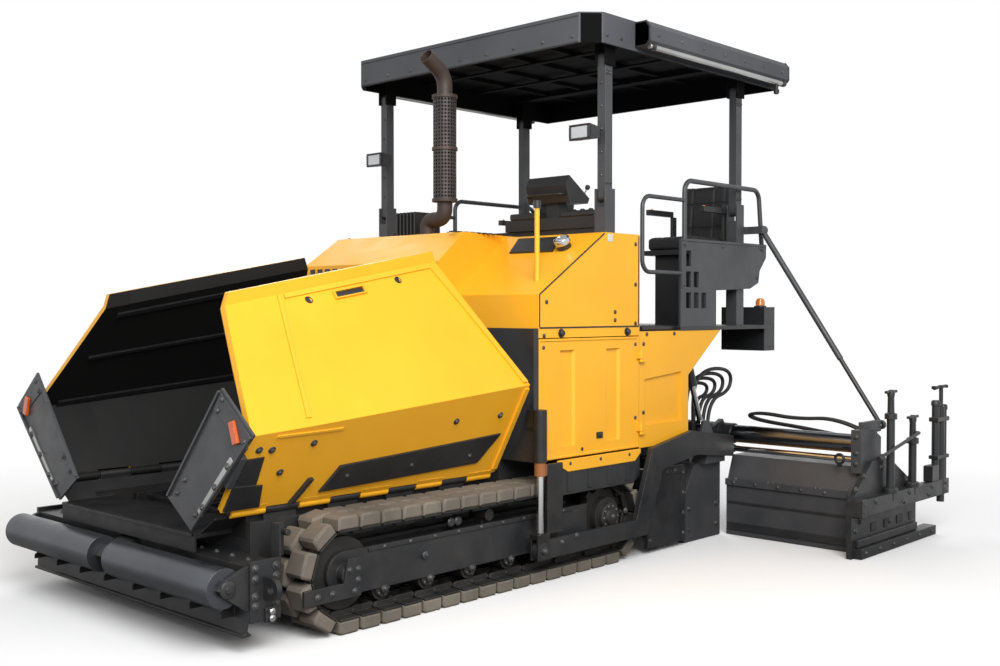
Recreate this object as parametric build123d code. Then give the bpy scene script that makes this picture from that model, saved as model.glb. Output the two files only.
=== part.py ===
from build123d import *
from math import cos, sin, pi, radians, atan2, hypot
import os

# Tracked asphalt paver: tilting hopper wings, folding canopy, extending screed.
# Millimetres. +X is the machine's left, +Y its rear, +Z up, origin on the ground
# under the middle of the machine.

# Running clearances
pin_gap = 0.3
slide_gap = 0.3
cheek_gap = 1.0
panel_gap = 6.0
ground_gap = 5.0

# Length chain, from the push rollers back to the tail of the end gates
front_reach = 860.0
shoe_pitch = 160.0
straight_shoes = 15
turn_shoes = 5
auger_offset = 640.0
screed_offset = 280.0
main_screed_depth = 510.0
screed_gap = 50.0
gate_rear_reach = 1360.0
track_base = straight_shoes * shoe_pitch
overall_length = (front_reach + track_base + auger_offset + screed_offset
                  + main_screed_depth + screed_gap + gate_rear_reach)
front_y = -overall_length / 2
idler_y = front_y + front_reach
sprocket_y = idler_y + track_base
auger_y = sprocket_y + auger_offset
screed_y = auger_y + screed_offset
screed_back_y = screed_y + main_screed_depth
extension_y = screed_back_y + screed_gap
rear_y = extension_y + gate_rear_reach

# Tracks
half_width = 1250.0
shoe_width = 300.0
shoe_length = 150.0
pad_height = 75.0
pad_chamfer = 10.0
shoe_bite = 5.0
link_depth = 50.0
link_width = 40.0
link_spacing = 110.0
track_x = half_width - shoe_width / 2
chain_radius = turn_shoes * shoe_pitch / pi
axle_z = chain_radius + pad_height
tread_radius = chain_radius - link_depth - slide_gap
track_top_z = 2 * axle_z

# Track frames, rollers and drives
frame_plate = 20.0
frame_half_depth = 125.0
frame_inner = 85.0
roller_radius = 68.0
roller_count = 6
roller_width = 150.0
carrier_radius = 38.0
axle_radius = 30.0
idler_width = 150.0
sprocket_width = 60.0
sprocket_teeth = 10
tooth_height = 30.0
drive_radius = 135.0
cover_radius = 100.0
guard_wall = 18.0
guard_reach = 330.0
guard_low = 120.0
guard_height = 85.0
hub_radius = 60.0
hub_rise = 95.0

# Chassis and conveyor
chassis_half = 940.0
chassis_wall = 40.0
chassis_bottom_z = 260.0
chassis_top_z = 640.0
chassis_tail = 400.0
floor_z = 560.0
floor_plate = 15.0
floor_slope = 30.0
lane_width = 640.0
lane_gap = 60.0
slat_pitch = 170.0
slat_height = 30.0
slat_depth = 45.0
tunnel_height = 330.0
chassis_rear_y = sprocket_y + chassis_tail
chassis_wall_x = chassis_half - chassis_wall
lane_edge = lane_width + lane_gap / 2
tunnel_z = floor_z + tunnel_height

# Push beam and rollers
push_roller_radius = 105.0
push_roller_z = 371.0
push_inner_x = 85.0
push_axle_radius = 30.0
roller_end_gap = 2.0
beam_setback = 230.0
beam_depth = 190.0
beam_half = 1190.0
beam_bottom_z = 230.0
beam_top_z = 470.0
beam_skirt_z = 175.0
beam_plate = 25.0
gusset_count = 8
gusset_wall = 12.0
gusset_reach = 90.0
push_roller_y = front_y + push_roller_radius
beam_front_y = front_y + beam_setback
chassis_front_y = beam_front_y + beam_depth
push_roller_length = beam_half - beam_plate - push_inner_x

# Lashing eyes on the push beam
eye_radius = 60.0
eye_bore = 26.0
eye_wall = 30.0
eye_reach = 64.0

# Hopper and wings
apron_half = 757.0
apron_setback = 185.0
apron_top_z = 588.0
apron_lip = 102.0
apron_plate = 14.0
apron_lap = 120.0
hinge_x = 925.0
hinge_z = 705.0
knuckle_radius = 28.0
hinge_pin_radius = 12.0
hinge_leaves = 9
hinge_inset = 72.0
hinge_tail = 144.0
wing_wall = 36.0
wing_front = 640.0
wing_rear = 1470.0
crease_x = 1280.0
crease_wall = 47.0
crease_front_z = 1150.0
crease_rise = 164.0
wing_top_x = 700.0
wing_top_front_z = 1785.0
wing_top_rise = 386.0
wing_lip = 70.0
wing_front_rake = 200.0
wing_rear_rake = 340.0
wing_bend = 390.0
wing_bend_in = 30.0
wing_front_y = idler_y - wing_front
wing_rear_y = idler_y + wing_rear
wing_slope = atan2(crease_front_z - hinge_z, crease_x - hinge_x)

# Wing front plates: the corners of the sheet, across and up
plate_setback = 40.0
plate_wall = 14.0
plate_corners = [(1058.0, 1393.0), (1340.0, 1166.0), (762.0, 602.0), (524.0, 763.0)]
flange_start = 216.0
flange_length = 216.0

# Engine bay, hood and side panels
bay_setback = 1590.0
bay_length = 1110.0
panel_x = 1246.0
panel_wall = 40.0
bulkhead_plate = 45.0
door_bottom_z = 800.0
door_top_z = 1606.0
strip_top_z = 1676.0
shoulder_z = 1900.0
hood_top_z = 2340.0
hood_slope = 700.0
hood_wall = 30.0
nose_reach = 210.0
nose_bottom_z = 1930.0
nose_front_z = 2130.0
nose_top_z = 2352.0
nose_slope = 330.0
nose_right_x = -960.0
nose_left_x = 520.0
nose_tail_x = 300.0
tank_length = 600.0
engine_half = 430.0
engine_gap = 160.0
recess_width = 122.0
recess_depth = 18.0
recess_front = 300.0
recess_spacing = 500.0
recess_margin = 80.0
door_knuckle_radius = 13.0
door_pin_radius = 6.0
door_knuckle_height = 60.0
door_hinge_low = 120.0
door_hinge_high = 645.0
bay_y = idler_y + bay_setback
door_y = bay_y + bay_length
tank_y = door_y + tank_length
nose_y = bay_y - nose_reach
door_hinge_x = panel_x + door_knuckle_radius + panel_gap / 2

# Rear quarter panels
quarter_overhang = 480.0
quarter_back = 30.0
quarter_knee_z = 1300.0
quarter_low_z = 870.0
quarter_sweep = 300.0
window_low_z = 960.0
window_front_z = 1290.0
window_back_z = 1330.0
window_margin = 65.0
window_depth = 16.0

# Operator's platform
deck_top_z = 1670.0
deck_plate = 30.0
deck_gap = 16.0
deck_length = 1850.0
deck_beam = 80.0
bin_width = 420.0
bin_depth = 170.0
bin_drop = 220.0
bin_rise = 150.0
deck_half = panel_x - panel_wall - deck_gap
deck_y = door_y + deck_length

# Handrails: the lower edge of the side sheet, behind its front and above the deck
rail_radius = 19.0
brace_radius = 16.0
rail_bend = 90.0
rail_x = 1240.0
rail_top_z = 2783.0
rail_panel_height = 670.0
rail_panel_wall = 20.0
rail_panel_edge = [(480.0, 0.0), (480.0, 280.0), (1000.0, 300.0), (1130.0, 350.0), (1150.0, 450.0),
                   (1250.0, 560.0), (1255.0, 670.0)]
rail_start = 520.0
rail_leg = 60.0
rail_run = 1140.0
rail_foot_run = 1200.0
rail_lap = 60.0
brace_reach = 480.0
brace_top = 960.0
brace_low = 405.0
cutout_rows = (1, 2, 3)
cutout_margin = 70.0
cutout_step = 105.0
cutout_width = 70.0
cutout_height = 120.0
cutout_rise = 520.0
cutout_drop = 160.0
rail_panel_top_z = deck_top_z + rail_panel_height

# Seats
seat_x = 840.0
seat_width = 480.0
seat_z = 2390.0
seat_top_z = 2850.0
seat_setback = 940.0
seat_depth = 470.0
cushion_height = 110.0
back_lean = 60.0
back_foot = 110.0
back_head = 90.0
pan_height = 40.0
pan_back = 120.0
pedestal_half = 168.0
pedestal_front = 60.0
pedestal_back = 20.0
armrest_wall = 22.0
armrest_width = 42.0
armrest_rise = 190.0
armrest_height = 45.0
armrest_length = 380.0
armrest_back = 45.0
armrest_post = 60.0
pan_z = seat_z - cushion_height

# Sliding console and its rails
console_rest_x = 510.0
console_width = 900.0
console_rail_half = 1010.0
console_rail_height = 50.0
console_rail_width = 40.0
console_rail_step = 80.0
console_setback = 130.0
console_lap = 20.0
console_base_height = 90.0
console_neck_half = 60.0
console_neck_height = 110.0
console_head_half = 200.0
console_head_front = 40.0
console_head_rise = 130.0
console_head_height = 200.0
console_head_depth = 240.0
console_rail_y = door_y - console_setback

# Canopy
canopy_top_z = 3850.0
canopy_depth = 210.0
canopy_half = 1278.0
canopy_front = 590.0
canopy_length = 2500.0
canopy_chamfer = 120.0
canopy_wall = 30.0
canopy_beam = 45.0
awning_radius = 45.0
awning_front = 500.0
awning_back = 60.0
post_x = 1160.0
post_width = 70.0
post_depth = 80.0
post_front_setback = 300.0
post_spacing = 1730.0
post_foot_z = 2600.0
post_drop = 65.0
post_pin_radius = 14.0
cheek = 14.0
canopy_rim_z = canopy_top_z - canopy_depth
post_head_z = canopy_rim_z - post_drop
post_front_y = door_y - post_front_setback
post_rear_y = post_front_y + post_spacing
post_inner_x = post_x - post_width / 2
post_outer_x = post_x + post_width / 2
cheek_half = post_depth / 2 + cheek

# Lamps on the front posts and on the hood, and the sighting rod
work_lamp_rise = 385.0
work_lamp_width = 180.0
work_lamp_height = 110.0
work_lamp_depth = 110.0
work_lamp_arm = 30.0
work_lamp_reach = 50.0
lamp_x = 1030.0
lamp_radius = 50.0
lamp_reach = 70.0
lamp_place = 0.75
sight_x = 1100.0
sight_setback = 152.0
sight_radius = 17.0
sight_top_z = 2480.0
sight_cap_radius = 26.0
sight_cap_height = 50.0

# Exhaust and intake
exhaust_x = 50.0
exhaust_setback = 310.0
exhaust_radius = 58.0
exhaust_wall = 8.0
exhaust_bend = 85.0
exhaust_offset = 190.0
exhaust_elbow_z = 2472.0
exhaust_top_z = 3530.0
exhaust_mouth = 190.0
exhaust_mouth_rise = 120.0
exhaust_bore_depth = 170.0
guard_radius = 88.0
guard_sheet = 6.0
guard_bottom_z = 2595.0
guard_top_z = 3390.0
guard_tie = 20.0
guard_tie_inset = 70.0
intake_x = -350.0
intake_setback = 100.0
intake_half = 105.0
intake_height = 190.0
intake_fins = 6
fin_wall = 12.0
fin_depth = 28.0

# Tow arms and levelling
tow_setback = 50.0
tow_z = 235.0
arm_x = 1285.0
arm_wall = 40.0
arm_half = 60.0
arm_knee = 1025.0
arm_knee_rise = 190.0
arm_heel = 130.0
arm_heel_rise = 330.0
arm_rise_z = 793.0
arm_crest_z = 882.0
arm_crest_lead = 40.0
arm_crest_depth = 190.0
arm_crest_lag = 60.0
arm_depth = 165.0
arm_tail_z = 800.0
arm_tail_gap = 25.0
tow_pin_radius = 25.0
fork_wall = 12.0
fork_gap = 2.0
fork_bridge = 34.0
bridge_gap = 16.0
leveller_radius = 45.0
leveller_rod = 25.0
leveller_foot_z = 810.0
leveller_top_z = 1150.0
gland_radius = 38.0
gland_drop = 90.0
hanger_height = 120.0
hanger_lap = 20.0
guide_bar_wall = 24.0
guide_bar_start = 60.0
guide_bar_end = 215.0
guide_bar_low = 100.0
guide_bar_top = 20.0
tow_y = bay_y - tow_setback
arm_mid_x = arm_x + arm_wall / 2

# Augers
auger_radius = 185.0
auger_shaft = 45.0
auger_z = 330.0
auger_pitch = 330.0
auger_margin = 30.0
auger_end_gap = 2.0
flight_wall = 14.0
flight_bite = 5.0
auger_inner_x = 60.0
auger_side_x = 1225.0
auger_side_wall = 25.0
auger_side_back = 240.0
auger_side_low = 40.0
auger_pin = 20.0
auger_pin_length = 55.0
auger_bore_length = 60.0
auger_case_half = 110.0
auger_beam_depth = 60.0
auger_beam_height = 140.0
auger_beam_drop = 20.0

# Screed and extensions
screed_half = 1215.0
screed_height = 600.0
screed_wall = 30.0
screed_slope = 150.0
screed_slope_drop = 250.0
hanger_wall = 60.0
hanger_front = 200.0
hanger_lean = 40.0
hanger_back = 40.0
hanger_drop = 20.0
lug_half = 35.0
lug_wall = 25.0
lug_drop = 60.0
lug_offset = 30.0
guide_y_offset = 110.0
guide_z = 800.0
guide_radius = 70.0
guide_wall = 12.0
ram_z = 680.0
ram_radius = 24.0
ram_wall = 8.0
guide_half = 1250.0
rib_inset = 130.0
rib_wall = 40.0
rib_front = 120.0
rib_shelf = 30.0
rib_reach = 95.0
rib_rise = 110.0
rib_drop = 40.0
rib_foot = 40.0
extension_reach = 2380.0
extension_inner_x = 1245.0
extension_depth = 340.0
extension_step_z = 400.0
extension_kink_z = 450.0
extension_top_z = 632.0
extension_slope = 90.0
extension_ledge = 20.0
bracket_wall = 80.0
bracket_front = 10.0
bracket_lap = 40.0
rod_grip = 100.0
stroke_in = 1030.0
stroke_out = 100.0
guide_y = extension_y + guide_y_offset

# End gates with their jacks, and the walkway behind each extension
gate_wall = 40.0
gate_front_reach = 220.0
gate_height = 680.0
gate_shoulder_z = 420.0
gate_slope = 330.0
gate_slope_back = 60.0
gate_tail = 480.0
gate_beam_wall = 70.0
gate_beam_z = 310.0
gate_beam_height = 120.0
shoe_bar_wall = 60.0
shoe_bar_height = 70.0
shoe_bar_lead = 40.0
shoe_bar_tail = 250.0
jack_offset = 45.0
jack_radius = 30.0
jack_screw = 16.0
jack_screw_length = 180.0
jack_bar = 11.0
jack_bar_half = 90.0
jack_bar_drop = 15.0
jack_low_z = 370.0
rear_jack_low_z = 250.0
jack_places = [(320.0, 1200.0), (710.0, 985.0)]
rear_jack_inset = 110.0
rear_jack_top_z = 1190.0
crank_offset = 50.0
crank_radius = 13.0
crank_grip = 20.0
crank_grip_length = 70.0
crank_length = 700.0
crank_z = 850.0
crank_drop = 135.0
walkway_width = 980.0
walkway_start = 540.0
walkway_depth = 420.0
walkway_z = 300.0
walkway_plate = 30.0
walkway_arm = 40.0
walkway_arm_places = (200.0, 900.0)
gate_x = extension_reach
gate_outer_x = gate_x + gate_wall
gate_y = extension_y - gate_front_reach
gate_back_y = rear_y - gate_tail
jack_x = gate_outer_x + jack_offset

# Extension stays, from the canopy feet to the extensions
stay_top_x = 1300.0
stay_top_z = 2450.0
stay_foot_z = 920.0
stay_y_offset = 440.0
stay_radius = 24.0
stay_wall = 5.0
stay_rod_radius = 18.0
stay_tube_length = 1250.0
stay_tube_start = 35.0
stay_rod_end = 30.0
stay_grip = 250.0
stay_pin = 12.0
stay_eye = 40.0
stay_eye_half = 25.0
stay_foot_eye = 36.0
stay_foot_bore = 15.0
stay_foot_half = 20.0
stay_bar = 40.0
stay_bar_half = 30.0
stay_pin_reach = 45.0
stay_lug_half = 20.0
stay_lug_drop = 45.0
stay_lug_rise = 40.0
stay_y = extension_y + stay_y_offset
stay_foot_x = stay_top_x + stroke_in

# Lift cylinders
lift_x = 1150.0
lift_top_z = 1590.0
lift_foot_z = 890.0
lift_lean = 275.0
lift_radius = 40.0
lift_rod = 22.0
lift_setback = 75.0
lift_barrel_length = 410.0
lift_blind = 30.0
lift_grip = 60.0
lift_eye = 40.0
lift_eye_bore = 22.0
lift_eye_half = 25.0
lift_eye_lap = 10.0
lift_pin = 12.0
clevis_half = 30.0
clevis_height = 45.0
lift_top_y = tank_y + lift_setback
lift_foot_y = lift_top_y + lift_lean
lift_length = hypot(lift_foot_y - lift_top_y, lift_top_z - lift_foot_z)

# Hydraulic hoses behind the tank
hose_radius = 17.0
hose_bend = 90.0
hose_x = 760.0
hose_spacing = 120.0
hose_count = 2
hose_reach = 190.0
hose_top_z = 1320.0
hose_step = 60.0
hose_low_z = 1000.0


def box(x0, x1, y0, y1, z0, z1):
    middle = Pos((x0 + x1) / 2, (y0 + y1) / 2, (z0 + z1) / 2)
    return middle * Box(x1 - x0, y1 - y0, z1 - z0)


def outline(points):
    return make_face(Polyline(*points, close=True))


def prism_x(points, x0, x1):
    face = Pos(x0, 0, 0) * (Plane.YZ * outline(points))
    return extrude(face, amount=x1 - x0, dir=(1, 0, 0))


def prism_y(points, y0, y1):
    face = Pos(0, y0, 0) * (Plane.XZ * outline(points))
    return extrude(face, amount=y1 - y0, dir=(0, 1, 0))


def prism_z(points, z0, z1):
    face = Pos(0, 0, z0) * outline(points)
    return extrude(face, amount=z1 - z0, dir=(0, 0, 1))


def inset_x(points, x0, x1, wall):
    face = offset(outline(points), amount=-wall, kind=Kind.INTERSECTION)
    face = Pos(x0 + wall, 0, 0) * (Plane.YZ * face)
    return extrude(face, amount=x1 - x0 - 2 * wall, dir=(1, 0, 0))


def rod(start, end, radius):
    axis = Vector(*end) - Vector(*start)
    base = (Align.CENTER, Align.CENTER, Align.MIN)
    return Plane(origin=start, z_dir=axis) * Cylinder(radius, axis.length, align=base)


def rod_x(x0, x1, y, z, radius):
    return rod((x0, y, z), (x1, y, z), radius)


def rod_z(x, y, z0, z1, radius):
    return rod((x, y, z0), (x, y, z1), radius)


def sleeve(start, end, radius, bore):
    return rod(start, end, radius) - rod(start, end, bore)


def tube_run(points, radius, bend):
    path = FilletPolyline(*points, radius=bend)
    section = Plane(origin=path @ 0, z_dir=path % 0) * Circle(radius)
    return sweep(section, path=path)


def point_at(start, end, distance):
    spot = Vector(*start) + (Vector(*end) - Vector(*start)).normalized() * distance
    return (spot.X, spot.Y, spot.Z)


def mirrored(shape):
    return mirror(shape, about=Plane.YZ)


def pair(*shapes):
    return list(shapes) + [mirrored(shape) for shape in shapes]


def fused(*shapes):
    return shapes[0].fuse(*shapes[1:])


def save(name, *shapes):
    solids = [solid for shape in shapes for solid in shape.solids()]
    export_step(Compound(solids), f"parts/{name}.step")


# Tracks: one loop of chain links with a pad on every pitch
def shoe_places():
    places = []
    for i in range(straight_shoes):
        along = i * shoe_pitch
        places.append((idler_y + along, axle_z - chain_radius, 180.0))
        places.append((sprocket_y - along, axle_z + chain_radius, 0.0))
    for i in range(turn_shoes):
        turn = 180.0 * i / turn_shoes
        tilt = radians(turn)
        reach = chain_radius * sin(tilt)
        rise = chain_radius * cos(tilt)
        places.append((sprocket_y + reach, axle_z - rise, turn - 180.0))
        places.append((idler_y - reach, axle_z + rise, turn))
    return places


def track_shoe():
    half = shoe_length / 2
    top = pad_height
    points = [
        (-half, -shoe_bite), (half, -shoe_bite), (half, top - pad_chamfer),
        (half - pad_chamfer, top), (pad_chamfer - half, top), (-half, top - pad_chamfer),
    ]
    return prism_x(points, -shoe_width / 2, shoe_width / 2)


def track_belt():
    mid_y = (idler_y + sprocket_y) / 2
    outer = SlotCenterToCenter(track_base, 2 * chain_radius)
    inner = SlotCenterToCenter(track_base, 2 * (chain_radius - link_depth))
    links = []
    for side in (-1, 1):
        x = track_x + side * link_spacing / 2 - link_width / 2
        ring = Pos(x, mid_y, axle_z) * (Plane.YZ * (outer - inner))
        links.append(extrude(ring, amount=link_width, dir=(1, 0, 0)))
    shoe = track_shoe()
    shoes = [Pos(track_x, y, z) * Rot(tilt, 0, 0) * shoe for y, z, tilt in shoe_places()]
    return fused(*links, *shoes)


# Track frames: a box beam between two side plates, with a stone guard at the idler
def track_frame():
    inner_x = track_x - frame_inner
    outer_x = track_x + frame_inner
    back = sprocket_y - tread_radius - tooth_height - frame_plate
    plates = []
    for x in (inner_x - frame_plate, outer_x):
        side = box(x, x + frame_plate, idler_y, back,
                   axle_z - frame_half_depth, axle_z + frame_half_depth)
        plates.append(side + rod_x(x, x + frame_plate, idler_y, axle_z, frame_half_depth))
    roller_top = pad_height + link_depth + 2 * roller_radius
    beam_front = idler_y + tread_radius + 2 * frame_plate
    beam = box(inner_x, outer_x, beam_front, back, roller_top + frame_plate,
               axle_z + frame_half_depth - frame_plate)
    ties = []
    for y in (idler_y + track_base / 4, sprocket_y - track_base / 4):
        ties.append(box(chassis_half, inner_x - frame_plate, y - frame_half_depth,
                        y + frame_half_depth, axle_z - frame_half_depth / 2,
                        axle_z + frame_half_depth / 2))
    return fused(beam, *plates, *ties, idler_guard())


def idler_guard():
    start = track_x + frame_inner + frame_plate
    guard_x = half_width + panel_gap
    low = axle_z - guard_low
    sheet = prism_x([
        (idler_y - guard_reach, low), (idler_y - guard_reach, low + guard_height),
        (idler_y - hub_radius, low + guard_height), (idler_y - hub_radius / 2, axle_z + hub_rise),
        (idler_y + hub_radius, axle_z + hub_rise), (idler_y + hub_radius, low),
    ], guard_x, guard_x + guard_wall)
    return sheet + rod_x(start, guard_x, idler_y, axle_z, hub_radius)


def track_wheels():
    inner_x = track_x - frame_inner
    outer_x = track_x + frame_inner
    tread_x = track_x - roller_width / 2
    wheels = []
    roller_z = pad_height + link_depth + roller_radius + slide_gap
    first = idler_y + tread_radius + roller_radius + frame_plate
    last = sprocket_y - tread_radius - roller_radius - 2 * frame_plate
    step = (last - first) / (roller_count - 1)
    for i in range(roller_count):
        y = first + i * step
        tread = rod_x(tread_x, tread_x + roller_width, y, roller_z, roller_radius)
        wheels.append(tread + rod_x(inner_x, outer_x, y, roller_z, axle_radius))
    carrier_z = track_top_z - pad_height - link_depth - carrier_radius - slide_gap
    carrier_y = idler_y + track_base / 2
    carrier = rod_x(tread_x, tread_x + roller_width, carrier_y, carrier_z, carrier_radius)
    post_z = axle_z + frame_half_depth - frame_plate
    wheels.append(carrier + box(track_x - axle_radius, track_x + axle_radius,
                                carrier_y - axle_radius, carrier_y + axle_radius,
                                post_z, carrier_z))
    idler_x = track_x - idler_width / 2
    idler = rod_x(idler_x, idler_x + idler_width, idler_y, axle_z, tread_radius)
    wheels.append(idler + rod_x(inner_x, outer_x, idler_y, axle_z, axle_radius))
    wheels.append(sprocket())
    return wheels


def sprocket():
    root = tread_radius - tooth_height / 2
    tip = tread_radius + tooth_height
    tooth = ((0.0, root), (0.3, root), (0.5, tip), (0.8, tip))
    points = []
    for i in range(sprocket_teeth):
        for part, radius in tooth:
            turn = 2 * pi * (i + part) / sprocket_teeth
            points.append((sprocket_y + radius * cos(turn), axle_z + radius * sin(turn)))
    wheel = prism_x(points, track_x - sprocket_width / 2, track_x + sprocket_width / 2)
    drive = rod_x(chassis_half, track_x + frame_inner, sprocket_y, axle_z, drive_radius)
    cover = rod_x(track_x, track_x + frame_inner + frame_plate, sprocket_y, axle_z, cover_radius)
    return fused(wheel, drive, cover)


# Chassis: two side plates, a belly plate and the wing hinges' fixed leaves
def chassis_frame():
    sides = []
    for x in (-chassis_half, chassis_wall_x):
        sides.append(box(x, x + chassis_wall, chassis_front_y, chassis_rear_y,
                         chassis_bottom_z, chassis_top_z))
    belly = box(-chassis_wall_x, chassis_wall_x, chassis_front_y, chassis_rear_y,
                chassis_bottom_z, chassis_bottom_z + floor_plate)
    front = box(-chassis_wall_x, chassis_wall_x, chassis_front_y, chassis_front_y + chassis_wall,
                chassis_bottom_z, floor_z - floor_plate)
    back = box(-chassis_wall_x, chassis_wall_x, chassis_rear_y - chassis_wall, chassis_rear_y,
               chassis_bottom_z, floor_z - floor_plate)
    leaves = pair(*[hinge_leaf(i, False) for i in range(1, hinge_leaves, 2)])
    pin = rod((hinge_x, leaf_y(0), hinge_z), (hinge_x, leaf_y(hinge_leaves), hinge_z),
              hinge_pin_radius)
    return fused(*sides, belly, front, back, *leaves, *pair(pin))


def leaf_y(i):
    start = wing_front_y + hinge_inset
    length = bay_y - hinge_tail - start
    return start + i * length / hinge_leaves


def hinge_leaf(i, moving):
    y0 = leaf_y(i) + panel_gap / 2
    y1 = leaf_y(i + 1) - panel_gap / 2
    start = (hinge_x, y0, hinge_z)
    end = (hinge_x, y1, hinge_z)
    if moving:
        web = wing_strip(0, 2 * knuckle_radius, y0, y1)
        bore = rod(start, end, hinge_pin_radius + pin_gap)
        return fused(rod(start, end, knuckle_radius), web) - bore
    lug = box(chassis_wall_x, hinge_x, y0, y1, chassis_top_z, hinge_z)
    return rod(start, end, knuckle_radius) + lug


# Wings: a lower panel from the hinge to the crease and an upper panel leaning in
def wing_strip(near, far, y0, y1):
    hinge = Vector(hinge_x, hinge_z)
    along = Vector(cos(wing_slope), sin(wing_slope))
    across = Vector(-sin(wing_slope), cos(wing_slope)) * (wing_wall / 2)
    start = hinge + along * near
    end = hinge + along * far
    corners = [start - across, end - across, end + across, start + across]
    return prism_y([(c.X, c.Y) for c in corners], y0, y1)


def wing_section(y, bend_in):
    part = (y - wing_front_y) / (wing_rear_y - wing_front_y)
    crease_z = crease_front_z + crease_rise * part
    top_z = wing_top_front_z + wing_top_rise * part
    along = Vector(cos(wing_slope), sin(wing_slope))
    across = Vector(-sin(wing_slope), cos(wing_slope)) * (wing_wall / 2)
    start = Vector(hinge_x, hinge_z) + along * (knuckle_radius + panel_gap)
    crease = crease_x - bend_in
    top = wing_top_x - bend_in
    low_out = start - across
    low_in = start + across
    return [
        (low_out.X, low_out.Y), (crease, crease_z), (top, top_z), (top, top_z + wing_lip),
        (top - wing_wall, top_z + wing_lip), (top - wing_wall, top_z - wing_wall / 2),
        (crease - crease_wall, crease_z), (low_in.X, low_in.Y),
    ]


def wing_piece(y0, bend0, y1, bend1):
    first = Pos(0, y0, 0) * (Plane.XZ * outline(wing_section(y0, bend0)))
    last = Pos(0, y1, 0) * (Plane.XZ * outline(wing_section(y1, bend1)))
    return loft([first.face(), last.face()], ruled=True)


def wing_left():
    bend_y = wing_front_y + wing_bend
    shell = fused(wing_piece(wing_front_y, wing_bend_in, bend_y, 0),
                  wing_piece(bend_y, 0, wing_rear_y, 0))
    top_z = wing_top_front_z + wing_top_rise + wing_lip
    rear_z = crease_front_z + crease_rise
    rake = wing_front_rake * (top_z - crease_front_z) / (wing_top_front_z - crease_front_z)
    front_cut = [
        (wing_front_y - wing_wall, crease_front_z), (wing_front_y, crease_front_z),
        (wing_front_y + rake, top_z), (wing_front_y - wing_wall, top_z),
    ]
    rear_cut = [
        (wing_rear_y + wing_wall, rear_z), (wing_rear_y, rear_z),
        (wing_rear_y - wing_rear_rake, top_z), (wing_rear_y + wing_wall, top_z),
    ]
    shell = shell - prism_x(front_cut, 0, 2 * crease_x) - prism_x(rear_cut, 0, 2 * crease_x)
    leaves = [hinge_leaf(i, True) for i in range(0, hinge_leaves, 2)]
    return fused(shell, *leaves)


def wing_plate():
    back = wing_front_y - plate_setback
    sheet = prism_y(plate_corners, back - plate_wall, back)
    return sheet + wing_strip(flange_start, flange_start + flange_length, back, wing_front_y)


# Hopper floor: conveyor deck, side slopes and the folding apron at the front
def hopper_floor():
    deck = box(-chassis_wall_x, chassis_wall_x, chassis_front_y, chassis_rear_y,
               floor_z - floor_plate, floor_z)
    apron_y = front_y + apron_setback
    apron_end = chassis_front_y + apron_lap
    slope = prism_y([(lane_edge, floor_z), (chassis_wall_x, floor_z),
                     (chassis_wall_x, chassis_top_z + floor_slope)],
                    chassis_front_y, bay_y - bulkhead_plate)
    room = box(-apron_half, apron_half, apron_y, apron_end, floor_z, apron_top_z + wing_lip)
    top = box(-apron_half, apron_half, apron_y, apron_end, floor_z, apron_top_z)
    lip = box(-apron_half, apron_half, apron_y, apron_y + apron_plate,
              apron_top_z - apron_lip, apron_top_z)
    return fused(deck, *[side - room for side in pair(slope)], top, lip)


def conveyor_chains():
    start = chassis_front_y + apron_lap + slat_pitch
    end = chassis_rear_y - slat_pitch / 2
    count = int((end - start) / slat_pitch) + 1
    pieces = []
    for lane in (-1, 1):
        left = lane * (lane_width + lane_gap) / 2 - lane_width / 2
        right = left + lane_width
        slats = []
        for i in range(count):
            y = start + i * slat_pitch - slat_depth / 2
            slats.append(box(left + slat_depth, right - slat_depth, y, y + slat_depth,
                             floor_z, floor_z + slat_height))
        strands = [box(x, x + slat_depth, start - slat_pitch / 2, end, floor_z, floor_z + slat_depth)
                   for x in (left, right - slat_depth)]
        pieces.append(fused(*strands, *slats))
    return pieces


# Push beam across the front, carrying the two truck push rollers
def push_beam():
    beam = box(-beam_half, beam_half, beam_front_y, chassis_front_y, beam_bottom_z, beam_top_z)
    skirt = box(-beam_half, beam_half, beam_front_y, beam_front_y + beam_plate,
                beam_skirt_z, beam_bottom_z)
    outer = push_inner_x + push_roller_length
    centre = push_inner_x - roller_end_gap
    arms = [roller_arm(-centre, centre)]
    arms += pair(roller_arm(outer + roller_end_gap, outer + roller_end_gap + beam_plate))
    axle = rod_x(push_inner_x - beam_plate / 2, outer + beam_plate, push_roller_y, push_roller_z,
                 push_axle_radius)
    end = box(beam_half, beam_half + beam_plate, beam_front_y, chassis_front_y,
              beam_skirt_z, beam_top_z + beam_plate)
    return fused(beam, skirt, *arms, *pair(axle, end), *skirt_gussets())


def roller_arm(x0, x1):
    half = push_roller_radius / 2
    return prism_x([
        (beam_front_y, beam_bottom_z), (beam_front_y, beam_top_z),
        (push_roller_y, push_roller_z + half), (push_roller_y - half, push_roller_z),
        (push_roller_y, push_roller_z - half),
    ], x0, x1)


def skirt_gussets():
    step = 2 * beam_half / (gusset_count + 1)
    back = beam_front_y + beam_plate
    corner = [(back, beam_skirt_z), (back, beam_bottom_z), (back + gusset_reach, beam_bottom_z)]
    gussets = []
    for i in range(gusset_count):
        x = -beam_half + (i + 1) * step
        gussets.append(prism_x(corner, x - gusset_wall / 2, x + gusset_wall / 2))
    return gussets


def push_roller():
    start = (push_inner_x, push_roller_y, push_roller_z)
    end = (push_inner_x + push_roller_length, push_roller_y, push_roller_z)
    return sleeve(start, end, push_roller_radius, push_axle_radius + pin_gap)


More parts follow.
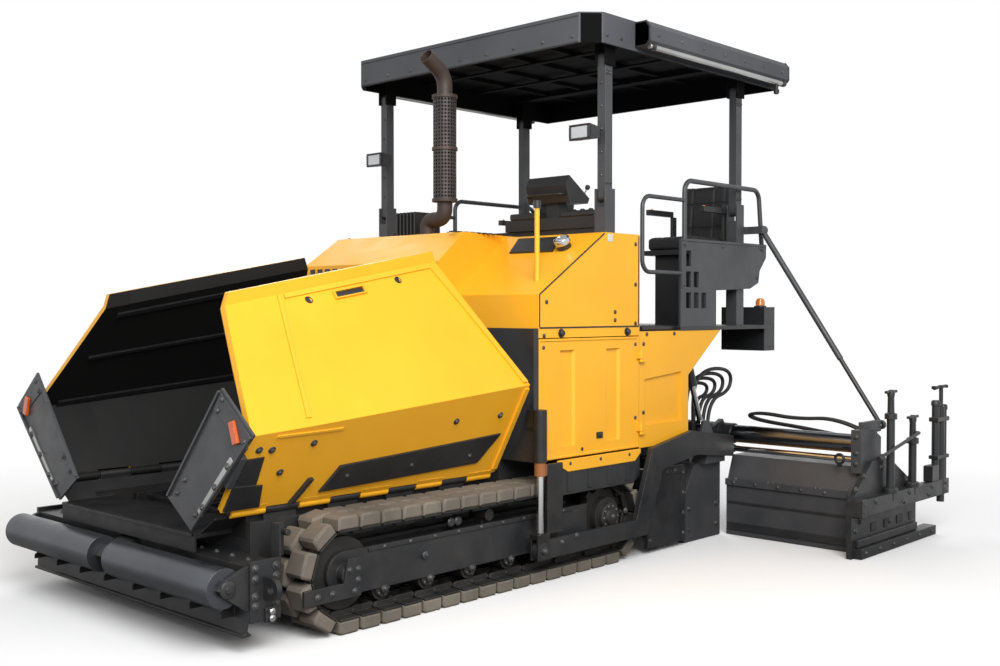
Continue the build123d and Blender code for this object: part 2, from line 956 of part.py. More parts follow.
# Lashing eyes standing out of the push beam's end plates
def tie_down_eyes():
    x = beam_half + beam_plate
    y = (beam_front_y + chassis_front_y) / 2
    z = (beam_bottom_z + beam_top_z) / 2
    front = (x + eye_reach, y - eye_wall / 2, z)
    back = (x + eye_reach, y + eye_wall / 2, z)
    plate = box(x, x + eye_reach, y - eye_wall / 2, y + eye_wall / 2, z - eye_radius, z + eye_radius)
    return pair(plate + rod(front, back, eye_radius) - rod(front, back, eye_bore))


# Engine bay: bulkheads, sills and the closed tank behind
def body_frame():
    right_half = [
        (panel_x, strip_top_z), (panel_x, door_bottom_z), (chassis_half, door_bottom_z),
        (chassis_half, chassis_top_z), (chassis_wall_x, chassis_top_z), (chassis_wall_x, floor_z),
        (lane_edge, floor_z), (lane_edge, tunnel_z),
    ]
    left_half = [(-x, z) for x, z in reversed(right_half)]
    crown = [(nose_right_x, strip_top_z), (nose_right_x, nose_bottom_z),
             (nose_tail_x, nose_bottom_z), (nose_tail_x, strip_top_z)]
    bulk = prism_y(right_half + left_half + crown, bay_y - bulkhead_plate, bay_y)
    roof = box(-chassis_wall_x, chassis_wall_x, bay_y, tank_y, tunnel_z, tunnel_z + floor_plate)
    leg = box(chassis_wall_x, chassis_half, bay_y, chassis_rear_y, chassis_top_z, tunnel_z)
    sill = box(chassis_wall_x, panel_x - panel_wall, bay_y, tank_y, tunnel_z, tunnel_z + floor_plate)
    under = deck_top_z - deck_plate
    walls = [box(-deck_half, deck_half, y, y + bulkhead_plate, tunnel_z, under)
             for y in (door_y, tank_y - bulkhead_plate)]
    beam = box(deck_half / 2 - deck_beam, deck_half / 2, tank_y, deck_y, under - deck_beam, under)
    return fused(bulk, roof, *pair(leg, sill, beam), *walls)


def engine_block():
    return box(-engine_half, engine_half, bay_y + engine_gap, door_y - engine_gap,
               tunnel_z + floor_plate, door_top_z - panel_wall)


# Hood: two sloped side volumes and the higher nose between them
def hood_profile():
    return [(bay_y, strip_top_z), (bay_y, shoulder_z), (bay_y + hood_slope, hood_top_z),
            (door_y, hood_top_z), (door_y, strip_top_z)]


def nose_profile():
    return [(nose_y, nose_bottom_z), (nose_y, nose_front_z), (nose_y + nose_slope, nose_top_z),
            (door_y, nose_top_z), (door_y, nose_bottom_z)]


def nose_plan():
    return [(nose_right_x, nose_y), (nose_left_x, nose_y), (nose_tail_x, bay_y + hood_slope),
            (nose_tail_x, door_y), (nose_right_x, door_y)]


def hood_drop(x0, x1, z):
    return box(x0 + hood_wall, x1 - hood_wall, bay_y + hood_wall, door_y - hood_wall,
               z - hood_wall, z + 2 * hood_wall)


def hood():
    left = prism_x(hood_profile(), nose_tail_x, panel_x)
    right = prism_x(hood_profile(), -panel_x, nose_right_x)
    plan = prism_z(nose_plan(), nose_bottom_z, nose_top_z)
    nose = prism_x(nose_profile(), nose_right_x, nose_left_x) & plan
    hollows = [
        inset_x(hood_profile(), nose_tail_x, panel_x, hood_wall),
        inset_x(hood_profile(), -panel_x, nose_right_x, hood_wall),
        inset_x(nose_profile(), nose_right_x, nose_tail_x, hood_wall),
        hood_drop(nose_tail_x, panel_x, strip_top_z),
        hood_drop(-panel_x, nose_right_x, strip_top_z),
        hood_drop(nose_right_x, nose_tail_x, nose_bottom_z),
    ]
    shell = fused(left, right, nose)
    for hollow in hollows:
        shell = shell - hollow
    return shell


# Side doors, hinged at their rear edge
def side_door():
    sheet = box(panel_x - panel_wall, panel_x, bay_y + panel_gap, door_y - panel_gap,
                door_bottom_z, door_top_z)
    floor_x = panel_x - recess_depth
    mouth_x = panel_x + panel_gap
    mouth = recess_width / 2 + recess_depth + panel_gap
    for i in range(2):
        mid = bay_y + recess_front + i * recess_spacing
        cut = prism_z([
            (mouth_x, mid - mouth), (mouth_x, mid + mouth),
            (floor_x, mid + recess_width / 2), (floor_x, mid - recess_width / 2),
        ], door_bottom_z + recess_margin, door_top_z - recess_margin)
        sheet = sheet - cut
    for z in door_hinge_heights():
        sheet = sheet + door_knuckle(z)
    return sheet


def door_hinge_heights():
    return [door_bottom_z + door_hinge_low, door_bottom_z + door_hinge_high]


def door_knuckle(z):
    high = z + door_knuckle_height
    barrel = rod_z(door_hinge_x, door_y, z, high, door_knuckle_radius)
    tab = box(panel_x - cheek_gap, door_hinge_x, door_y - 3 * door_knuckle_radius,
              door_y - panel_gap, z, high)
    return barrel + tab - rod_z(door_hinge_x, door_y, z, high, door_pin_radius + pin_gap)


# Rear quarters: the side panel behind the door and the strip above it
def rear_quarter():
    inner_x = panel_x - panel_wall
    bottom = door_bottom_z - panel_gap
    under = deck_top_z - deck_plate
    back = tank_y + quarter_back
    sheet = prism_x([
        (door_y, bottom), (door_y, under), (tank_y + quarter_overhang, under),
        (back, quarter_knee_z), (back, quarter_low_z), (door_y + quarter_sweep, bottom),
    ], inner_x, panel_x)
    recess = prism_x([
        (door_y + window_margin, window_low_z), (door_y + window_margin, window_front_z),
        (tank_y - window_margin, window_back_z), (tank_y - window_margin, window_low_z),
    ], panel_x - window_depth, panel_x + panel_gap)
    strip = box(inner_x, panel_x, bay_y, door_y, door_top_z + panel_gap, strip_top_z)
    stop = box(deck_half, inner_x, door_y, door_y + bulkhead_plate, tunnel_z + floor_plate, under)
    quarter = fused(sheet - recess, stop)
    for z in door_hinge_heights():
        low = z - 2 * door_knuckle_radius
        high = z + door_knuckle_height + door_knuckle_radius
        pin = rod_z(door_hinge_x, door_y, low, high, door_pin_radius)
        foot = box(panel_x - cheek_gap, door_hinge_x + door_knuckle_radius, door_y + cheek_gap,
                   door_y + 3 * door_knuckle_radius, low, z - panel_gap)
        seat_ring = rod_z(door_hinge_x, door_y, low, z - panel_gap, door_knuckle_radius)
        quarter = fused(quarter, pin, foot, seat_ring)
    return [quarter, strip]


# Operator's platform: deck, front wall, rear bins and the console's rails
def platform_deck():
    low = deck_top_z - deck_plate
    deck = box(-deck_half, deck_half, door_y, deck_y, low, deck_top_z)
    edge = box(deck_half, rail_x + rail_panel_wall / 2, door_y + rail_start, deck_y, low, deck_top_z)
    wall = box(-deck_half, deck_half, door_y, door_y + bulkhead_plate, deck_top_z, hood_top_z)
    rear_bin = box(deck_half - bin_width, deck_half, deck_y, deck_y + bin_depth,
                   deck_top_z - bin_drop, deck_top_z + bin_rise)
    return [fused(deck, wall, *pair(edge, rear_bin)), *console_rails()]


def console_rails():
    rails = []
    for i in range(2):
        y0 = console_rail_y + i * console_rail_step
        y1 = y0 + console_rail_width
        bar = box(-console_rail_half, console_rail_half, y0, y1,
                  nose_top_z, nose_top_z + console_rail_height)
        feet = [box(x0, x1, y0, y1, hood_top_z, nose_top_z)
                for x0, x1 in ((nose_tail_x, console_rail_half), (-console_rail_half, nose_right_x))]
        rails.append(fused(bar, *feet))
    return rails


def console():
    low = nose_top_z + console_rail_height + slide_gap
    base_top = low + console_base_height
    head_z = base_top + console_neck_height
    front = console_rail_y - console_lap
    back = console_rail_y + console_rail_step + console_rail_width + console_lap
    base = box(console_rest_x - console_width / 2, console_rest_x + console_width / 2,
               front, back, low, base_top)
    neck = box(console_rest_x - console_neck_half, console_rest_x + console_neck_half,
               front + console_head_front, back - console_lap, base_top, head_z)
    head = prism_x([
        (front, head_z), (front - console_head_front, head_z + console_head_rise),
        (front, head_z + console_head_height),
        (front + console_head_depth, head_z + console_head_front),
        (front + console_head_depth - console_lap, head_z),
    ], console_rest_x - console_head_half, console_rest_x + console_head_half)
    return fused(base, neck, head)


def seat():
    y0 = door_y + seat_setback
    y1 = y0 + seat_depth
    left = seat_x - seat_width / 2
    right = seat_x + seat_width / 2
    cushion = box(left, right, y0, y1, pan_z, seat_z)
    back = prism_x([
        (y1, pan_z), (y1 + back_lean, seat_top_z), (y1 + back_lean + back_head, seat_top_z),
        (y1 + back_foot, pan_z),
    ], left, right)
    return [cushion, back]


def seat_base():
    y0 = door_y + seat_setback
    y1 = y0 + seat_depth
    left = seat_x - seat_width / 2
    right = seat_x + seat_width / 2
    low = pan_z - pan_height
    pan = box(left, right, y0, y1 + pan_back, low, pan_z)
    post = box(seat_x - pedestal_half, seat_x + pedestal_half, y0 + pedestal_front,
               y1 - pedestal_back, deck_top_z, low)
    pieces = [pan, post]
    arm_z = seat_z + armrest_rise
    for x0, x1, wide in ((left - armrest_wall, left, -armrest_width),
                         (right, right + armrest_wall, armrest_width)):
        edge = x1 if wide < 0 else x0
        pieces.append(box(x0, x1, y1 - armrest_post, y1, low, arm_z))
        pieces.append(box(min(edge, edge + wide), max(edge, edge + wide), y1 - armrest_length,
                          y1 - armrest_back, arm_z, arm_z + armrest_height))
    return fused(*pieces)


# Handrails: a side sheet with cutouts, the top loop and the brace at the entry
def handrail():
    x0 = rail_x - rail_panel_wall / 2
    x1 = x0 + rail_panel_wall
    y0 = door_y + rail_start
    top = rail_panel_top_z
    lower_edge = [(y0 + run, deck_top_z + rise) for run, rise in rail_panel_edge]
    sheet = prism_x([(y0, deck_top_z)] + lower_edge + [(y0, top)], x0, x1)
    for row, count in enumerate(cutout_rows):
        z = deck_top_z + cutout_rise - row * cutout_drop
        for i in range(count):
            y = y0 + cutout_margin + i * cutout_step
            sheet = sheet - box(x0 - panel_gap, x1 + panel_gap, y, y + cutout_width,
                                z - cutout_height / 2, z + cutout_height / 2)
    leg = y0 + rail_leg
    loop = tube_run([
        (rail_x, leg, top - rail_lap), (rail_x, leg, rail_top_z), (rail_x, y0 + rail_run, rail_top_z),
        (rail_x, y0 + rail_foot_run, top - rail_lap),
    ], rail_radius, rail_bend)
    brace_y = y0 - brace_reach
    high = deck_top_z + brace_top
    low = deck_top_z + brace_low
    brace = tube_run([
        (rail_x, leg, high), (rail_x, brace_y, high), (rail_x, brace_y, low),
        (rail_x, y0 + rail_lap / 2, low),
    ], brace_radius, rail_bend)
    return fused(sheet, loop, brace)


# Exhaust stack with its guard, and the finned intake beside it
def exhaust():
    y = bay_y + exhaust_setback
    mouth = (exhaust_x, y - exhaust_mouth, exhaust_top_z + exhaust_mouth_rise)
    pipe = tube_run([
        (exhaust_x - exhaust_offset, y, nose_top_z), (exhaust_x - exhaust_offset, y, exhaust_elbow_z),
        (exhaust_x, y, exhaust_elbow_z), (exhaust_x, y, exhaust_top_z), mouth,
    ], exhaust_radius, exhaust_bend)
    bore = tube_run([
        (exhaust_x, y, exhaust_top_z - exhaust_bore_depth), (exhaust_x, y, exhaust_top_z), mouth,
    ], exhaust_radius - exhaust_wall, exhaust_bend)
    guard = sleeve((exhaust_x, y, guard_bottom_z), (exhaust_x, y, guard_top_z),
                   guard_radius, guard_radius - guard_sheet)
    half = guard_radius - guard_sheet / 2
    ties = [box(exhaust_x - half, exhaust_x + half, y - guard_tie / 2, y + guard_tie / 2,
                z, z + guard_tie)
            for z in (guard_bottom_z + guard_tie_inset, guard_top_z - guard_tie_inset - guard_tie)]
    return fused(pipe, guard, *ties) - bore


def air_cleaner():
    y = bay_y + exhaust_setback + intake_setback
    body = box(intake_x - intake_half, intake_x + intake_half, y - intake_half, y + intake_half,
               nose_top_z, nose_top_z + intake_height)
    step = (2 * intake_half - fin_wall) / (intake_fins - 1)
    fins = []
    for i in range(intake_fins):
        near = -intake_half + i * step
        fins.append(box(intake_x + near, intake_x + near + fin_wall, y - intake_half - fin_depth,
                        y + intake_half + fin_depth, nose_top_z, nose_top_z + intake_height))
    return fused(body, *fins)


# Hood lamps, and the sighting rod in front of the left seat
def hood_lamp():
    y = bay_y + lamp_place * hood_slope
    z = shoulder_z + lamp_place * (hood_top_z - shoulder_z)
    rise = hood_top_z - shoulder_z
    out = Vector(0, -rise, hood_slope).normalized() * lamp_reach
    lamp = rod((lamp_x, y - out.Y, z - out.Z), (lamp_x, y + out.Y, z + out.Z), lamp_radius)
    return lamp - prism_x(hood_profile(), nose_tail_x, panel_x)


def sight_rod():
    y = bay_y + sight_setback
    stick = rod_z(sight_x, y, shoulder_z, sight_top_z, sight_radius)
    cap = rod_z(sight_x, y, sight_top_z, sight_top_z + sight_cap_height, sight_cap_radius)
    return fused(stick, cap) - prism_x(hood_profile(), nose_tail_x, panel_x)


# Canopy: roof on four posts that swing together
def cheeks(y, low, high):
    inner = post_inner_x - cheek_gap
    outer = post_outer_x + cheek_gap
    return [box(x, x + cheek, y - cheek_half, y + cheek_half, low, high)
            for x in (inner - cheek, outer)]


def post_pin(y, z):
    return rod_x(post_inner_x - cheek_gap - cheek, post_outer_x + cheek_gap + cheek, y, z,
                 post_pin_radius)


def post_bracket(y, foot):
    block = box(post_inner_x - cheek_gap, post_outer_x + cheek_gap, y - cheek_half, y + cheek_half,
                foot, post_foot_z - post_depth)
    return fused(*cheeks(y, foot, post_foot_z + cheek_half), block, post_pin(y, post_foot_z))


def canopy_brackets():
    back = stay_y - stay_radius - panel_gap
    low = stay_top_z - stay_bar_half
    high = stay_top_z + stay_bar_half
    arm = box(post_inner_x, post_outer_x, post_rear_y + cheek_half, back - stay_bar, low, high)
    reach = box(post_inner_x, stay_top_x + stay_bar, back - stay_bar, back, low, high)
    pin = rod((stay_top_x, back, stay_top_z), (stay_top_x, stay_y + stay_pin_reach, stay_top_z),
              stay_pin)
    rear = fused(post_bracket(post_rear_y, deck_top_z), arm, reach, pin)
    return pair(post_bracket(post_front_y, hood_top_z), rear)


def canopy_post(y):
    shaft = box(post_inner_x, post_outer_x, y - post_depth / 2, y + post_depth / 2,
                post_foot_z, post_head_z)
    post = shaft
    for z in (post_foot_z, post_head_z):
        post = post + rod_x(post_inner_x, post_outer_x, y, z, post_depth / 2)
    for z in (post_foot_z, post_head_z):
        post = post - rod_x(post_inner_x, post_outer_x, y, z, post_pin_radius + pin_gap)
    return post


def work_lamp():
    y = post_front_y - post_depth / 2
    mid = post_foot_z + work_lamp_rise + work_lamp_height / 2
    half = work_lamp_height / 2
    back = y - work_lamp_reach
    front = back - work_lamp_depth
    arm = box(post_inner_x, post_inner_x + work_lamp_arm, back, y,
              mid - work_lamp_arm / 2, mid + work_lamp_arm / 2)
    body = prism_x([
        (front, mid - half), (front, mid + half), (back, mid + half - work_lamp_arm / 2),
        (back, mid - half + work_lamp_arm / 2),
    ], post_inner_x + work_lamp_arm * 2 - work_lamp_width, post_inner_x + work_lamp_arm * 2)
    return arm + body


def canopy_roof():
    front = post_front_y - (canopy_front - post_front_setback)
    back = front + canopy_length
    cut = canopy_chamfer
    plan = [(-canopy_half + cut, front), (canopy_half - cut, front), (canopy_half, front + cut),
            (canopy_half, back), (-canopy_half, back), (-canopy_half, front + cut)]
    inner = offset(outline(plan), amount=-canopy_wall, kind=Kind.INTERSECTION)
    under = canopy_top_z - canopy_wall
    hollow = extrude(Pos(0, 0, canopy_rim_z) * inner, amount=under - canopy_rim_z, dir=(0, 0, 1))
    pieces = [prism_z(plan, canopy_rim_z, canopy_top_z) - hollow]
    for y in (post_front_y, post_rear_y):
        pieces += pair(*cheeks(y, post_head_z - cheek_half, under), post_pin(y, post_head_z))
        pieces.append(box(-canopy_half + canopy_wall, canopy_half - canopy_wall, y - cheek_half,
                          y + cheek_half, under - canopy_beam, under))
    roll_x = canopy_half + awning_radius - roller_end_gap
    roll_z = canopy_top_z - 2 * awning_radius
    roll = rod((roll_x, front + awning_front, roll_z), (roll_x, back - awning_back, roll_z),
               awning_radius)
    return fused(*pieces, *pair(roll))


# Levelling and lift cylinders, fixed to the tractor
def lift_ends():
    return (lift_x, lift_top_y, lift_top_z), (lift_x, lift_foot_y, lift_foot_z)


def lift_barrel():
    top, foot = lift_ends()
    mouth = point_at(top, foot, lift_barrel_length)
    blind = point_at(top, foot, lift_blind)
    clevis = box(lift_x - clevis_half, lift_x + clevis_half, tank_y, lift_top_y,
                 lift_top_z - clevis_height, lift_top_z + clevis_height)
    return fused(rod(top, mouth, lift_radius), clevis) - rod(blind, mouth, lift_rod + slide_gap)


def lift_rod_piece():
    top, foot = lift_ends()
    start = point_at(top, foot, lift_barrel_length - lift_grip)
    end = point_at(top, foot, lift_length - lift_eye_lap)
    left = lift_x - lift_eye_half
    right = lift_x + lift_eye_half
    eye = rod_x(left, right, lift_foot_y, lift_foot_z, lift_eye)
    return rod(start, end, lift_rod) + eye - rod_x(left, right, lift_foot_y, lift_foot_z, lift_eye_bore)


def leveller():
    bridge_z = tow_z + arm_half + bridge_gap
    barrel = rod_z(arm_mid_x, tow_y, leveller_foot_z, leveller_top_z, leveller_radius)
    gland = rod_z(arm_mid_x, tow_y, leveller_foot_z - gland_drop, leveller_foot_z, gland_radius)
    shaft = rod_z(arm_mid_x, tow_y, bridge_z, leveller_foot_z, leveller_rod)
    hanger = box(panel_x - panel_wall, arm_mid_x, tow_y - hanger_lap, bay_y - bulkhead_plate,
                 leveller_top_z - hanger_height, leveller_top_z)
    left = arm_mid_x - guide_bar_wall / 2
    right = arm_mid_x + guide_bar_wall / 2
    top = leveller_foot_z - guide_bar_top
    bar = box(left, right, tow_y + guide_bar_start, tow_y + guide_bar_end, tow_z + guide_bar_low, top)
    tie = box(left, right, tow_y, tow_y + guide_bar_start, leveller_foot_z - gland_drop, top)
    return fused(barrel, gland, shaft, hanger, bar, tie)


def tow_point():
    y0 = tow_y - arm_half
    y1 = tow_y + arm_half
    inner = arm_x - fork_gap
    outer = arm_x + arm_wall + fork_gap
    bridge_z = tow_z + arm_half + bridge_gap
    top = bridge_z + fork_bridge
    fork = [box(x, x + fork_wall, y0, y1, tow_z - arm_half, top) for x in (inner - fork_wall, outer)]
    bridge = box(inner, outer, y0, y1, bridge_z, top)
    pin = rod_x(inner - fork_wall, outer + fork_wall, tow_y, tow_z, tow_pin_radius)
    return fused(*fork, bridge, pin)


def cylinders():
    return pair(lift_barrel(), fused(leveller(), tow_point()))


# Tow arms, main screed and guide tubes
def tow_arm():
    knee = tow_y + arm_knee
    crest = screed_y - arm_crest_lead
    tail = extension_y - arm_tail_gap
    sheet = prism_x([
        (tow_y, tow_z - arm_half), (knee + arm_heel, tow_z - arm_half),
        (knee + arm_heel_rise, arm_rise_z - arm_depth),
        (crest + arm_crest_lag, arm_crest_z - arm_crest_depth), (tail, arm_tail_z - arm_depth),
        (tail, arm_tail_z), (crest, arm_crest_z), (knee + arm_knee_rise, arm_rise_z),
        (knee, tow_z + arm_half), (tow_y, tow_z + arm_half),
    ], arm_x, arm_x + arm_wall)
    eye = rod_x(arm_x, arm_x + arm_wall, tow_y, tow_z, arm_half)
    return sheet + eye - rod_x(arm_x, arm_x + arm_wall, tow_y, tow_z, tow_pin_radius + pin_gap)


def screed_main():
    points = [
        (screed_y, ground_gap), (screed_back_y, ground_gap), (screed_back_y, screed_height),
        (screed_y + screed_slope, screed_height), (screed_y, screed_height - screed_slope_drop),
    ]
    body = prism_x(points, -screed_half, screed_half)
    hollow = inset_x(points, -screed_half, screed_half, screed_wall)
    front = screed_y + hanger_front
    back = screed_back_y - hanger_back
    hanger_top = arm_tail_z - hanger_drop
    hanger = prism_x([
        (front, screed_height), (back, screed_height), (back, hanger_top),
        (front + hanger_lean, hanger_top),
    ], screed_half - hanger_wall, arm_x)
    lug_low = arm_tail_z - lug_drop
    lug_top = lift_foot_z + lug_half
    lug_x = lift_x + lug_offset
    lug = prism_x([
        (front + hanger_lean, lug_low), (back, lug_low), (lift_foot_y + lug_half, lug_top),
        (lift_foot_y - lug_half, lug_top),
    ], lug_x, lug_x + lug_wall)
    pin = rod_x(lift_x - lift_eye_half, lug_x + lug_wall, lift_foot_y, lift_foot_z, lift_pin)
    return fused(body - hollow, *pair(hanger, lug, pin))


def screed_guides():
    edge = guide_half - rib_inset
    ribs = []
    for x in (-edge, -guide_half / 3, guide_half / 3, edge):
        ribs.append(prism_x([
            (screed_back_y - rib_front, screed_height), (screed_back_y, screed_height),
            (screed_back_y + rib_shelf, ram_z - rib_drop), (guide_y + rib_foot, ram_z - rib_drop),
            (guide_y + rib_reach, guide_z), (guide_y, guide_z + rib_rise),
            (screed_back_y - rib_front, guide_z),
        ], x - rib_wall / 2, x + rib_wall / 2))
    tubes = []
    for z, radius, wall in ((guide_z, guide_radius, guide_wall), (ram_z, ram_radius, ram_wall)):
        outer = radius + wall
        tubes.append(sleeve((-guide_half, guide_y, z), (guide_half, guide_y, z), outer,
                            radius + slide_gap))
        hole = rod_x(-guide_half, guide_half, guide_y, z, outer + pin_gap)
        ribs = [rib - hole for rib in ribs]
    return tubes + ribs


# Extensions: screed box, guide bracket and rods
def extension():
    back = extension_y + extension_depth
    ledge_y = extension_y - extension_ledge
    body = prism_x([
        (extension_y, ground_gap), (back, ground_gap), (back, extension_top_z),
        (extension_y + extension_slope, extension_top_z),
        (extension_y + extension_ledge, extension_kink_z), (ledge_y, extension_kink_z),
        (ledge_y, extension_step_z), (extension_y, extension_step_z),
    ], extension_inner_x, extension_reach)
    floor = ground_gap + screed_wall
    hollow = prism_x([
        (extension_y + screed_wall, floor), (back - screed_wall, floor),
        (back - screed_wall, extension_top_z - screed_wall),
        (extension_y + extension_slope + bracket_front, extension_top_z - screed_wall),
        (extension_y + screed_wall + extension_ledge, extension_step_z),
    ], extension_inner_x + screed_wall, extension_reach - screed_wall)
    bracket_x = extension_reach - bracket_wall
    bracket_y = extension_y + bracket_front
    bracket_low = extension_top_z - bracket_lap
    bracket = prism_x([
        (bracket_y, bracket_low), (back, bracket_low), (back, guide_z + bracket_lap),
        (guide_y + rib_reach, guide_z + rib_rise), (bracket_y, guide_z + rib_rise),
    ], bracket_x, extension_reach)
    rods = [rod_x(guide_half - rod_grip - stroke_out, bracket_x, guide_y, z, radius)
            for z, radius in ((guide_z, guide_radius), (ram_z, ram_radius))]
    left = stay_foot_x - stay_lug_half
    right = stay_foot_x + stay_lug_half
    lug = box(left, right, back, stay_y - stay_radius - 2 * panel_gap,
              stay_foot_z - stay_lug_drop, stay_foot_z + stay_lug_rise)
    lug_arm = box(left, right, guide_y, back, guide_z + bracket_lap, stay_foot_z + stay_lug_rise)
    return fused(body - hollow, bracket, *rods, lug, lug_arm)


def jack(y, low, high):
    neck = high - jack_screw_length
    bar_z = high - jack_bar_drop
    tube = rod_z(jack_x, y, low, neck, jack_radius)
    screw = rod_z(jack_x, y, neck, high, jack_screw)
    bar = rod((jack_x, y - jack_bar_half, bar_z), (jack_x, y + jack_bar_half, bar_z), jack_bar)
    return fused(tube, screw, bar)


def crank(y):
    x = jack_x + crank_offset
    far = (x, y - crank_length, crank_z - crank_drop)
    near = (x, y, crank_z)
    stub = rod_x(jack_x, x, y, crank_z, crank_radius)
    grip = rod(far, point_at(far, near, crank_grip_length), crank_grip)
    return fused(stub, rod(near, far, crank_radius), grip)


def end_gate():
    low = ground_gap
    sheet = prism_x([
        (gate_y, low), (gate_back_y, low), (gate_back_y, gate_shoulder_z),
        (extension_y + extension_depth + gate_slope_back, gate_height),
        (gate_y + gate_slope, gate_height), (gate_y, gate_shoulder_z),
    ], gate_x, gate_outer_x)
    beam = box(gate_outer_x, gate_outer_x + gate_beam_wall, gate_y, rear_y,
               gate_beam_z, gate_beam_z + gate_beam_height)
    shoe_end = gate_back_y + shoe_bar_tail
    shoe_top = low + shoe_bar_height
    shoe = box(gate_outer_x, gate_outer_x + shoe_bar_wall, gate_y + shoe_bar_lead, shoe_end,
               low, shoe_top)
    tail = box(gate_x, gate_outer_x, gate_back_y, shoe_end, low, shoe_top)
    jacks = [jack(extension_y + run, jack_low_z, high) for run, high in jack_places]
    jacks.append(jack(rear_y - rear_jack_inset, rear_jack_low_z, rear_jack_top_z))
    jacks.append(crank(extension_y + jack_places[1][0]))
    return fused(sheet, beam, shoe, tail, *jacks, *walkway())


def walkway():
    front = extension_y + walkway_start
    top = walkway_z + walkway_plate
    pieces = [box(gate_x - walkway_width, gate_x, front, front + walkway_depth, walkway_z, top)]
    for inset in walkway_arm_places:
        x = gate_x - inset
        pieces.append(box(x, x + walkway_arm, extension_y + extension_depth, front, walkway_z, top))
    return pieces


# Stays: a tube pinned to the tractor and a rod that follows the extension
def stay_ends():
    return (stay_top_x, stay_y, stay_top_z), (stay_foot_x, stay_y, stay_foot_z)


def stay_tube():
    top, foot = stay_ends()
    mouth = point_at(top, foot, stay_tube_length)
    start = point_at(top, foot, stay_tube_start)
    bore = stay_rod_radius + slide_gap
    eye = sleeve((stay_top_x, stay_y - stay_eye_half, stay_top_z),
                 (stay_top_x, stay_y + stay_eye_half, stay_top_z), stay_eye, stay_pin + pin_gap)
    return eye + sleeve(start, mouth, bore + stay_wall, bore)


def stay_rod():
    top, foot = stay_ends()
    length = hypot(stay_foot_x - stay_top_x, stay_top_z - stay_foot_z)
    start = point_at(top, foot, stay_tube_length - stay_grip)
    end = point_at(top, foot, length - stay_rod_end)
    eye = sleeve((stay_foot_x, stay_y - stay_foot_half, stay_foot_z),
                 (stay_foot_x, stay_y + stay_foot_half, stay_foot_z), stay_foot_eye, stay_foot_bore)
    return rod(start, end, stay_rod_radius) + eye


# Augers: shaft and flight, turning between a centre case and the side plates
def auger():
    start = auger_inner_x + auger_end_gap
    end = auger_side_x - auger_end_gap
    path = Helix(auger_pitch, end - start - 2 * auger_margin, auger_shaft - flight_bite)
    depth = auger_radius - auger_shaft + flight_bite
    profile = Plane(origin=path @ 0, x_dir=(1, 0, 0), z_dir=(0, 1, 0))
    blade = profile * Pos(depth / 2, 0) * Rectangle(depth, flight_wall)
    flight = sweep(blade, path=path, is_frenet=True)
    flight = Pos(start + auger_margin, auger_y, auger_z) * Rot(0, 90, 0) * flight
    screw = fused(rod_x(start, end, auger_y, auger_z, auger_shaft), flight)
    for x0, x1 in ((start, start + auger_bore_length), (end - auger_bore_length, end)):
        screw = screw - rod_x(x0, x1, auger_y, auger_z, auger_pin + pin_gap)
    return screw


def auger_box():
    top = chassis_top_z - auger_beam_drop
    low = top - auger_beam_height
    beam_back = chassis_rear_y + auger_beam_depth
    outer = auger_side_x + auger_side_wall
    beam = box(-outer, outer, chassis_rear_y, beam_back, low, top)
    side = box(auger_side_x, outer, chassis_rear_y, auger_y + auger_side_back, auger_side_low, top)
    outer_pin = rod_x(auger_side_x - auger_pin_length, auger_side_x, auger_y, auger_z, auger_pin)
    inner_pin = rod_x(auger_inner_x, auger_inner_x + auger_pin_length, auger_y, auger_z, auger_pin)
    case = box(-auger_inner_x, auger_inner_x, auger_y - auger_case_half, auger_y + auger_case_half,
               auger_z - auger_case_half, top)
    neck = box(-auger_inner_x, auger_inner_x, beam_back, auger_y - auger_case_half, low, top)
    return fused(beam, *pair(side, outer_pin, inner_pin), case, neck)


# Hydraulic hoses looping out of the tank's rear wall and back into it
def hoses():
    runs = []
    for i in range(hose_count):
        x = hose_x + i * hose_spacing
        high = hose_top_z - i * hose_step
        runs.append(tube_run([
            (x, tank_y, high), (x, tank_y + hose_reach, high), (x, tank_y + hose_reach, hose_low_z),
            (x, tank_y, hose_low_z),
        ], hose_radius, hose_bend))
    return pair(*runs)


def save_sides(name, shape):
    save(f"{name}_left", shape)
    save(f"{name}_right", mirrored(shape))


os.makedirs("parts", exist_ok=True)
save("track_belts", *pair(track_belt()))
save("track_frames", *pair(track_frame()))
save("track_wheels", *pair(*track_wheels()))
save("chassis_frame", chassis_frame())
save("hopper_floor", hopper_floor())
save("conveyor_chains", *conveyor_chains())
save("push_beam", push_beam())
save("tie_down_eyes", *tie_down_eyes())
save_sides("push_roller", push_roller())
save_sides("wing", wing_left())
save_sides("wing_plate", wing_plate())
save("body_frame", body_frame())
save("engine_block", engine_block())
save("hood", hood())
save_sides("door", side_door())
save("rear_quarters", *pair(*rear_quarter()))
save("platform_deck", *platform_deck())
save("console", console())
save("seats", *pair(*seat()))
save("seat_bases", *pair(seat_base()))
save("handrails", *pair(handrail()))
save("exhaust", exhaust())
save("air_cleaner", air_cleaner())
save("lamps", *pair(hood_lamp()), sight_rod())
save("canopy_brackets", *canopy_brackets())
save("canopy_front_posts", *pair(canopy_post(post_front_y)))
save("canopy_rear_posts", *pair(canopy_post(post_rear_y)))
save("work_lamps", *pair(work_lamp()))
save("canopy_roof", canopy_roof())
save("cylinders", *cylinders())
save_sides("lift_rod", lift_rod_piece())
save("tow_arms", *pair(tow_arm()))
save("screed_main", screed_main())
save("screed_guides", *screed_guides())
save_sides("extension", extension())
save_sides("end_gate", end_gate())
save_sides("stay_tube", stay_tube())
save_sides("stay_rod", stay_rod())
save_sides("auger", auger())
save("auger_box", auger_box())
save("hoses", *hoses())
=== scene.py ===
from math import cos, exp, pi, radians, sin

import bmesh
import bpy
from mathutils import Matrix, Vector


